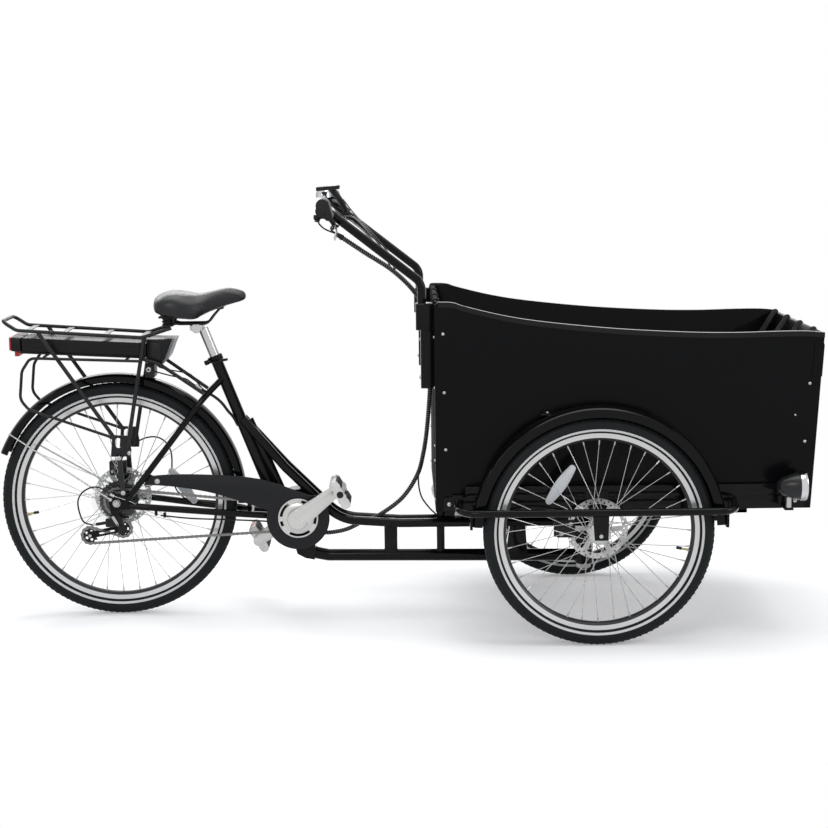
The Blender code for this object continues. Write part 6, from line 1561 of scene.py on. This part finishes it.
def make_end_panels():
    """The sloping front panel, and the rear panel with the bars' sockets and the bolts of both."""
    ends = (front_x(BOX_BOTTOM), BOX_BOTTOM), (front_x(FRONT_TOP), FRONT_TOP)
    front = [*ends, *[(x - PANEL, z) for x, z in reversed(ends)]]
    heads = [(front_x(z) - 0.0004, y, z) for y in BOLT_COLUMNS for z in (0.669, 0.520, 0.377)]
    parts = [(sheet(front, 0, BOX_BETWEEN, edge=0.002), BOX_LACQUER), bolts(heads, AHEAD, 0.7)]
    piece("front_panel", parts, "steering", "box_gloss", "panel_front")

    behind, face, back = (-1, 0, 0), BAR_FOOT_X - 0.0040, BOX_REAR_X + 0.001
    rear = block((BOX_REAR_X, -BOX_BETWEEN, BOX_BOTTOM), (BOX_INSIDE_X, BOX_BETWEEN, 0.893), 0.002)
    parts = [(rear, PANEL_BACK)]
    for y in (RIGHT * BAR_Y, LEFT * BAR_Y):
        parts += dressed(FRAME_PAINT,
                         block((BAR_FOOT_X - 0.0160, y - 0.020, 0.815), (back, y + 0.020, 0.886), 0.003),
                         block((face, y - 0.0145, 0.661), (back, y + 0.0145, 0.816), 0.003))
        parts.append(bolts([(face, y, z) for z in (0.690, 0.790)], behind, 0.9))
    heads = [(BOX_REAR_X, y, z) for y in BOLT_COLUMNS for z in (0.515, 0.475, 0.371, 0.800, 0.668)]
    parts.append(bolts(heads, behind, 0.7))
    piece("rear_panel", parts, "steering", "box_gloss", "panel_rear")


def make_boards():
    for name, cad in (("floor_board", "box_floor"), ("rear_bench_board", "bench_rear"),
                      ("front_bench_board", "bench_front")):
        piece(name, [(carried_over(cad, 0.0012), STAINED_PLY)], "steering", "bench_wood", cad)


def belt_strip(route, y, lean=0.0):
    """A flat belt along (x, z) points at a place across the box, leaning out of square."""
    width, thick = 0.025, 0.0016
    points = [Vector((x, y, z)) for x, z in route]
    return swept(smooth(points, 5), width / 2, 12, squash=2 * thick / width, up=(lean, 1, 0))


def make_belts():
    """Child belts over both end panels, each with its slider."""
    inside, face = BOX_INSIDE_X, front_x(0.80) - PANEL
    rear = [(BOX_REAR_X - 0.002, 0.868), (BOX_REAR_X - 0.002, 0.889), (BOX_REAR_X + 0.002, 0.8955)]
    rear += [(inside + x, z) for x, z in ((-0.002, 0.8955), (0.002, 0.888), (0.004, 0.830), (0.006, 0.700),
                                          (0.012, 0.600), (0.040, 0.5595), (0.11, 0.5595))]
    front = [(face + x, z) for x, z in (
        (0.0075, 0.788), (0.0075, 0.799), (0.0055, 0.8055), (0.002, 0.8065), (-0.005, 0.801), (-0.033, 0.756),
        (-0.066, 0.705), (-0.105, 0.645), (-0.150, 0.575), (-0.180, 0.5595), (-0.220, 0.5595))]
    parts = []
    for y in (-0.235, -0.075, 0.085, 0.245):
        lie = Matrix.Translation((face - 0.045, y, 0.738)) @ Matrix.Rotation(radians(32.9), 4, "Y")
        slider = moved(block((-0.0035, -0.018, -0.013), (0.0035, 0.018, 0.013), 0.0015), lie)
        upright = block((inside + 0.003, y - 0.018, 0.800), (inside + 0.009, y + 0.018, 0.826), 0.0015)
        parts += dressed(BELT, belt_strip(rear, y), belt_strip(front, y, 0.4))
        parts += dressed(BLACK_PLASTIC, upright, slider)
    piece("child_belts", parts, "steering", "black_plastic")


# Handlebars

BAR_BEND = Vector((BAR_FOOT_X, BAR_Y, BAR_BEND_Z))
CLAMP_BORE = BAR_RADIUS + 0.0004


def make_bar(side):
    """A bar tube and its grip, with a palm wing, end ribs and a cap."""
    name = SIDE_NAMES[side]
    corners = [(BAR_FOOT_X, BAR_Y, 0.8225), BAR_BEND, at_y(BAR_CORNER, BAR_Y), at_y(BAR_CORNER, 0.424)]
    tube = swept(bent(corners, 0.040, 10), BAR_RADIUS, 28)
    parts = sided([(tube, FRAME_PAINT)], side)
    piece("bar_tube_" + name, parts, "steering", "frame_paint", "handlebar_" + name)
    bore, inner, outer = BAR_RADIUS + 0.0003, 0.0150, 0.0155
    profile = [(bore, 0.302), (inner, 0.3025), (outer, 0.304), (inner, 0.330), (outer, 0.360), (outer, 0.420),
               (inner, 0.4285), (0.0120, 0.430), (0.0004, 0.430), (0.0004, 0.4275), (bore, 0.4270)]
    wing = hull_outline((-0.1834, 1.1470), 0.0165, (-0.1690, 1.1190), 0.0100, 16)
    grip = [turned(profile, BAR_CORNER, sides=40), plate(wing, 0.318, 0.4290, edge=0.006),
            pin(BAR_CORNER, 0.4285, 0.4318, 0.0098, 28, edge=0.001)]
    grip += [ring_on(at_y(BAR_CORNER, y), ACROSS, inner, 0.0161, 0.0010, 32, 0.0004)
             for y in (0.306, 0.311, 0.316)]
    parts = sided(dressed(GRIP_RUBBER, *grip), side)
    piece("grip_sleeve_" + name, parts, "steering", "grip_rubber", "grip_" + name)


def make_brake_lever(side):
    name = SIDE_NAMES[side]
    pivot = Vector((-0.157, 0.279, 1.086))
    knuckle, root = pivot - Vector((0, 0.022, 0)), at_y(BAR_CORNER, 0.287)
    black = [ring_on(at_y(BAR_CORNER, 0.291), ACROSS, CLAMP_BORE, 0.0160, 0.009, 36),
             rod(root + (knuckle - root) * 0.22, knuckle, 0.0060),
             rod(knuckle, knuckle - Vector((0, 0.016, 0)), 0.0036, 16)]
    for offset in (LEVER_AXIS * -0.0068, LEVER_AXIS * 0.0068):
        black.append(rod(knuckle + offset, pivot + offset + Vector((0, 0.004, 0)), 0.0036, 14))
    if side == RIGHT:
        x, y = SHIFTER.x, -SHIFTER.y
        low, high = SHIFTER.z + 0.0024, SHIFTER.z + 0.0150
        black += [rod((x, y, low), (x, y, high), 0.0095, 36, edge=0.0015),
                  block((-0.201, 0.279, low + 0.002), (-0.175, 0.293, high - 0.002))]
    screw = rod(pivot - LEVER_AXIS * 0.0108, pivot + LEVER_AXIS * 0.0108, 0.0026, 14)
    parts = sided(dressed(BLACK_PLASTIC, *black) + [(screw, ZINC)], side)
    piece("lever_clamp_" + name, parts, "steering", "black_plastic", "brake_mount_" + name)
    route = smooth([pivot + Vector(step) for step in ((0, 0.002, 0), (0.004, 0.036, -0.004),
                                                      (0.005, 0.080, -0.012), (0.003, 0.124, -0.020))])
    radii = [0.0045 + 0.0030 * (k / (len(route) - 1)) for k in range(len(route))]
    blade = swept(route, radii, 18, squash=0.42, up=UPRIGHT)
    hub = rod(pivot - LEVER_AXIS * 0.0026, pivot + LEVER_AXIS * 0.0026, 0.0070, 24)
    parts = sided(dressed(POST_ALLOY, blade, hub), side)
    piece("lever_blade_" + name, parts, "brake_lever_" + name, "alloy", "brake_lever_" + name)


def make_shifter():
    outline = hull_outline((SHIFTER.x, SHIFTER.y), 0.0075, (SHIFTER.x + 0.002, SHIFTER.y - 0.040), 0.0045)
    thumb = plate(outline, SHIFTER.z - 0.0020, SHIFTER.z + 0.0020, "XY", edge=0.001)
    piece("shift_thumb", [(thumb, BLACK_PLASTIC)], "shift_lever", "black_plastic", "shift_lever")


def make_display():
    corner = at_y(BAR_CORNER, BAR_Y)
    along = (corner - BAR_BEND).normalized()
    middle = corner - along * 0.052
    stalk = smooth([middle + Vector((0, -0.0135, 0.009)), (-0.163, 0.212, 1.144), (-0.184, 0.203, 1.170)])
    case = ((-0.2255, 1.1655), (-0.160, 1.1705), (-0.160, 1.1816), (-0.2255, 1.1768))
    glass = ((-0.2195, 1.1758), (-0.166, 1.1800), (-0.166, 1.1813), (-0.2195, 1.1771))
    parts = dressed(BLACK_PLASTIC, ring_on(middle, along, CLAMP_BORE, 0.0165, 0.007, 36),
                    swept(stalk, 0.0085, 20), plate(case, 0.165, 0.235, edge=0.0020))
    parts.append((plate(glass, 0.171, 0.229, edge=0.0004), SCREEN))
    piece("display_unit", parts, "steering", "black_plastic", "display")


def make_bell():
    place = Vector((-0.208, 0.272, 1.1450))
    dome = [(0, 0.0300), (0.007, 0.0294), (0.0137, 0.0264), (0.0193, 0.0204), (0.0226, 0.0110), (0.0232, 0),
            (0.0220, 0), (0.0211, 0.0098), (0.0178, 0.0188), (0.0115, 0.0248), (0, 0.0276)]
    stem = rod(place + Vector((0, 0, 0.001)), place + Vector((0, 0, 0.0280)), 0.004, 16)
    parts = [(turned(dome, place, UPRIGHT, 48, ring=False), CHROME)]
    parts += dressed(BLACK_PLASTIC, stem, block((-0.213, 0.265, 1.1430), (-0.190, 0.277, 1.1475)),
                     ring_on(at_y(BAR_CORNER, 0.270), ACROSS, CLAMP_BORE, 0.0145, 0.006))
    piece("bell", parts, "steering", "chrome")


# Cables

BUNDLE = [Vector(p) for p in (
    (-0.145, -0.240, 1.060), (-0.085, -0.222, 1.018), (-0.005, -0.190, 0.962), (0.057, -0.145, 0.890),
    (0.085, -0.080, 0.800), (0.0873, -0.030, 0.700), (0.0873, -0.018, 0.632), (0.0784, -0.008, 0.5185),
    (0.0672, 0, 0.443), (0.0496, 0, 0.382), (0.007, 0, 0.318), (-0.057, 0, 0.2707), (-0.100, 0, 0.2536),
    (-0.151, 0, 0.230), (-0.2047, 0, 0.2215), (-0.2178, 0, 0.229))]


def cables(radius, sides, steps, *routes):
    return dressed(CABLE_JACKET, *[swept(smooth(route, steps), radius, sides) for route in routes])


def make_bundle():
    """The thick bundle and a thin hose, both bent between the frame and the steering."""
    line = smooth(BUNDLE, 8)
    length = sum((b - a).length for a, b in zip(line, line[1:]))
    wrap = turned([(0.0048, -0.0022), (0.0062, -0.0020), (0.0065, 0), (0.0062, 0.0020), (0.0048, 0.0022)],
                  axis=(0.985, 0, 0.17), sides=10)
    coils = strung(line, wrap, CABLE_JACKET, round(length / 0.0062))
    parts = [(swept(line, 0.0055), GREY_PLASTIC), coils]
    bundle = piece("cable_loom", parts, None, "black_plastic", "cable_bundle")
    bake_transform(bundle)

    hose = cables(0.0022, 10, 8, ((0.0645, -0.004, 0.425), (0.0530, -0.012, 0.380), (0.0590, -0.018, 0.330),
                                  (0.0790, -0.022, 0.298), (0.1010, -0.024, 0.275)))
    thin = piece("thin_hose", hose, None, "black_plastic")
    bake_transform(thin)


def make_rear_cables():
    """The gear cable with its bare stretch and clips, the rear brake's hose and the battery's wires."""
    gear_start, gear_end = (-0.7866, -0.0765, 0.3489), (-0.6600, -0.0560, 0.2880)
    parts = cables(0.0022, 10, 6, (
        (-0.848, -0.061, 0.264), (-0.8731, -0.066, 0.277), (-0.8843, -0.072, 0.3238),
        (-0.8747, -0.074, 0.3539), (-0.8500, -0.0760, 0.3710), (-0.8280, -0.0765, 0.3730),
        (-0.8050, -0.0765, 0.3620), gear_start), (
        gear_end, (-0.5779, -0.0530, 0.2780), (-0.468, -0.0400, 0.2700), (-0.3718, -0.0340, 0.2633),
        (-0.3450, -0.0320, 0.2580)))
    parts += cables(0.0022, 10, 5, (
        (-0.785, 0.052, 0.418), (-0.770, 0.056, 0.445), (-0.7532, 0.058, 0.4649), (-0.7334, 0.058, 0.4769),
        (-0.7115, 0.058, 0.4863), (-0.6895, 0.058, 0.4895), (-0.6703, 0.058, 0.485),
        (-0.6539, 0.058, 0.472), (-0.6425, 0.058, 0.4513), (-0.6393, 0.058, 0.4264),
        (-0.6397, 0.058, 0.3872), (-0.6312, 0.057, 0.3426),
        (-0.6173, 0.055, 0.3249), (-0.6009, 0.053, 0.3120), (-0.560, 0.050, 0.3080), (-0.500, 0.045, 0.3030),
        (-0.430, 0.038, 0.2930), (-0.365, 0.026, 0.2820)))
    bare = (gear_start, (-0.7368, -0.0755, 0.3311), (-0.6983, -0.0720, 0.3060), (-0.6717, -0.0600, 0.2925),
            gear_end)
    start = Vector(gear_start)
    parts += [(swept(bare, 0.0009, 8), SPOKE_STEEL),
              (rod(start + Vector((-0.008, 0, 0.004)), start + Vector((0.004, 0, -0.002)), 0.0040, 14), ZINC)]
    for x, z in ((-0.6717, 0.2925), (-0.6480, 0.2870)):
        clip = block((x - 0.004, -0.0640, z - 0.004), (x + 0.004, -0.0540, z + 0.010))
        parts.append((clip, FRAME_PAINT))
    parts += cables(0.0019, 10, 6, (
        (-0.6600, -0.050, 0.7085), (-0.6488, -0.047, 0.6983), (-0.6166, -0.040, 0.6891),
        (-0.5824, -0.030, 0.6810), (-0.5660, -0.025, 0.6720), (-0.5480, -0.028, 0.6480),
        (-0.5300, -0.032, 0.6290)), (
        (-0.6770, -0.060, 0.6970), (-0.6665, -0.054, 0.6897), (-0.6476, -0.052, 0.6837),
        (-0.6189, -0.050, 0.6756), (-0.5828, -0.049, 0.6675), (-0.5678, -0.048, 0.6577),
        (-0.5510, -0.046, 0.6440)))
    parts.append((rod((-0.5560, -0.0465, 0.6480), (-0.5400, -0.0430, 0.6360), 0.0048, 18), ZINC))
    parts += cables(0.0040, 14, 6, (
        (-0.5420, -0.0435, 0.6375), (-0.5300, -0.032, 0.6290), (-0.5050, -0.024, 0.6120),
        (-0.4864, -0.021, 0.5945), (-0.4704, -0.019, 0.5720), (-0.4563, -0.017, 0.5546),
        (-0.4450, -0.008, 0.5300)))
    piece("rear_cables", parts, "root", "black_plastic")


def make_bar_cables():
    """The boot at the bundle's upper end and the cables that run from it to the levers and display."""
    way = (BUNDLE[0] - BUNDLE[1]).normalized()
    mouth = BUNDLE[0] + way * 0.014
    parts = [(rod(BUNDLE[0] - way * 0.006, BUNDLE[0] + way * 0.016, 0.0078, 20, 0.0048), BLACK_PLASTIC)]
    parts += cables(
        0.0021, 10, 7,
        (mouth, (-0.170, -0.234, 1.079), (-0.166, -0.233, 1.088), (-0.157, -0.243, 1.086)),
        (mouth, (-0.184, -0.250, 1.080), (-0.198, -0.268, 1.094), (-0.203, -0.281, 1.110)),
        ((-0.150, 0.207, 1.140), (-0.116, 0.060, 1.106), (-0.066, -0.110, 1.063), (-0.028, -0.160, 1.020),
         (-0.012, -0.180, 0.992), (-0.003, -0.189, 0.962)),
        ((-0.157, 0.243, 1.086), (-0.124, 0.120, 1.082), (-0.072, -0.070, 1.048), (-0.034, -0.150, 1.006),
         (-0.014, -0.184, 0.970)),
        ((-0.160, 0.250, 1.092), (-0.118, 0.100, 1.094), (-0.068, -0.090, 1.055), (-0.030, -0.155, 1.013),
         (-0.010, -0.182, 0.980), (-0.002, -0.189, 0.960)))
    piece("bar_cables", parts, "steering", "black_plastic")


# Stage

def background_rays(tree):
    """The rays that see the white background: the camera's, and those that metal and glass send on."""
    path = node(tree, "ShaderNodeLightPath").outputs
    mirrored = calculated(tree, "MAXIMUM", path["Is Camera Ray"], path["Is Glossy Ray"])
    return calculated(tree, "MAXIMUM", mirrored, path["Is Transmission Ray"])


def glow(tree, strength):
    white = {"Color": (1, 1, 1, 1), "Strength": strength}
    return node(tree, "ShaderNodeEmission", white).outputs["Emission"]


def blended(tree, factor, first, second):
    return node(tree, "ShaderNodeMixShader", {0: factor, 1: first, 2: second}).outputs["Shader"]


def make_floor():
    """A pale floor that takes the shadow near the object and fades to the background's white."""
    bm = bmesh.new()
    bmesh.ops.create_grid(bm, x_segments=1, y_segments=1, size=14)
    bmesh.ops.translate(bm, verts=bm.verts, vec=(0, 4, -0.0006))
    floor = bpy.data.objects.new("floor", mesh_of(bm, closed=False))
    material, tree, surface = shader("pale_floor", (0.80, 0.80, 0.805), Roughness=0.9, specular=0.1)
    seen = background_rays(tree)
    lift = blended(tree, seen, glow(tree, 0.0), glow(tree, 0.26))
    lit = node(tree, "ShaderNodeAddShader", {0: surface.outputs["BSDF"], 1: lift}).outputs["Shader"]
    oval = node(tree, "ShaderNodeMapping", {"Vector": place_on(tree), "Scale": (0.72, 1.15, 1.0)})
    reach = node(tree, "ShaderNodeVectorMath", {0: oval.outputs["Vector"]}, operation="LENGTH")
    far = spread_between(tree, reach.outputs["Value"], 0.85, 1.6)
    both = blended(tree, calculated(tree, "MULTIPLY", far, seen), lit, glow(tree, 1.0))
    tree.links.new(both, tree.nodes["Material Output"].inputs["Surface"])
    floor.data.materials.append(material)
    scene.collection.objects.link(floor)


def make_world():
    """A white background for the eye and a cooler, dimmer light for the surfaces."""
    world = bpy.data.worlds.new("studio")
    world.use_nodes = True
    scene.world = world
    tree = world.node_tree
    white = {"Color": (1, 1, 1, 1), "Strength": 1.0}
    shown = node(tree, "ShaderNodeBackground", white).outputs["Background"]
    fill = tree.nodes["Background"]
    fill.inputs["Color"].default_value = (0.93, 0.95, 1.0, 1)
    fill.inputs["Strength"].default_value = 0.55
    both = blended(tree, background_rays(tree), fill.outputs["Background"], shown)
    tree.links.new(both, tree.nodes["World Output"].inputs["Surface"])
    scene.view_settings.view_transform = "Standard"


def make_lamps():
    for name, place, target, size, power in (
            ("top_softbox", (0.2, 0.3, 3.6), (0, 0, 0.3), (4.2, 2.2), 95),
            ("front_softbox", (-1.2, -4.3, 3.0), (0, 0, 0.5), (2.2, 0.9), 46),
            ("side_softbox", (3.6, -1.4, 2.2), (0.2, 0, 0.5), (1.2, 1.6), 26),
            ("back_softbox", (-1.2, 3.6, 2.4), (0, 0, 0.5), (3.0, 1.2), 42)):
        lamp = bpy.data.lights.new(name, "AREA")
        lamp.shape = "RECTANGLE"
        lamp.size, lamp.size_y = size
        lamp.energy = power
        obj = bpy.data.objects.new(name, lamp)
        obj.location = place
        obj.rotation_euler = (Vector(target) - Vector(place)).to_track_quat("-Z", "Y").to_euler()
        scene.collection.objects.link(obj)


def make_camera():
    """The photograph's camera: its place and turn fitted to the wheels, for a square picture."""
    yaw, pitch, roll = radians(0.431), radians(8.855), radians(-0.576)
    forward = Vector((sin(yaw) * cos(pitch), cos(yaw) * cos(pitch), -sin(pitch)))
    right = Vector((cos(yaw), -sin(yaw), 0))
    up = right.cross(forward)
    across_view = right * cos(roll) + up * sin(roll)
    up_view = up * cos(roll) - right * sin(roll)
    camera = bpy.data.cameras.new("photo_camera")
    camera.sensor_width = 36
    camera.lens = 77.33
    camera.clip_end = 100
    obj = bpy.data.objects.new("photo_camera", camera)
    turn = Matrix((across_view, up_view, -forward)).transposed().to_4x4()
    obj.matrix_world = Matrix.Translation((0.006, -4.8729, 1.3139)) @ turn
    scene.collection.objects.link(obj)
    scene.camera = obj


make_camera()
make_floor()
make_world()
make_lamps()
make_bundle()
make_rear_cables()
make_bar_cables()
make_rear_wheel()
for wheel_side in (RIGHT, LEFT):
    make_front_wheel(wheel_side)
make_frame()
make_chain()
make_cassette()
make_drive_unit()
make_chain_guard()
make_cranks()
make_derailleur()
make_derailleur_cage()
make_pulley("guide_pulley", GUIDE_PULLEY)
make_pulley("tension_pulley", TENSION_PULLEY)
make_saddle()
make_seat_post()
make_saddle_rails()
make_seat_clamp()
make_rack()
make_battery()
make_battery_dock()
make_rear_fender()
make_steer_chassis()
for fender_side in (RIGHT, LEFT):
    make_front_fender(fender_side)
    make_front_caliper(fender_side)
make_headlight()
for panel_side in (RIGHT, LEFT):
    make_side_panel(panel_side)
make_end_panels()
make_boards()
make_belts()
for bar_side in (RIGHT, LEFT):
    make_bar(bar_side)
    make_brake_lever(bar_side)
make_shifter()
make_display()
make_bell()
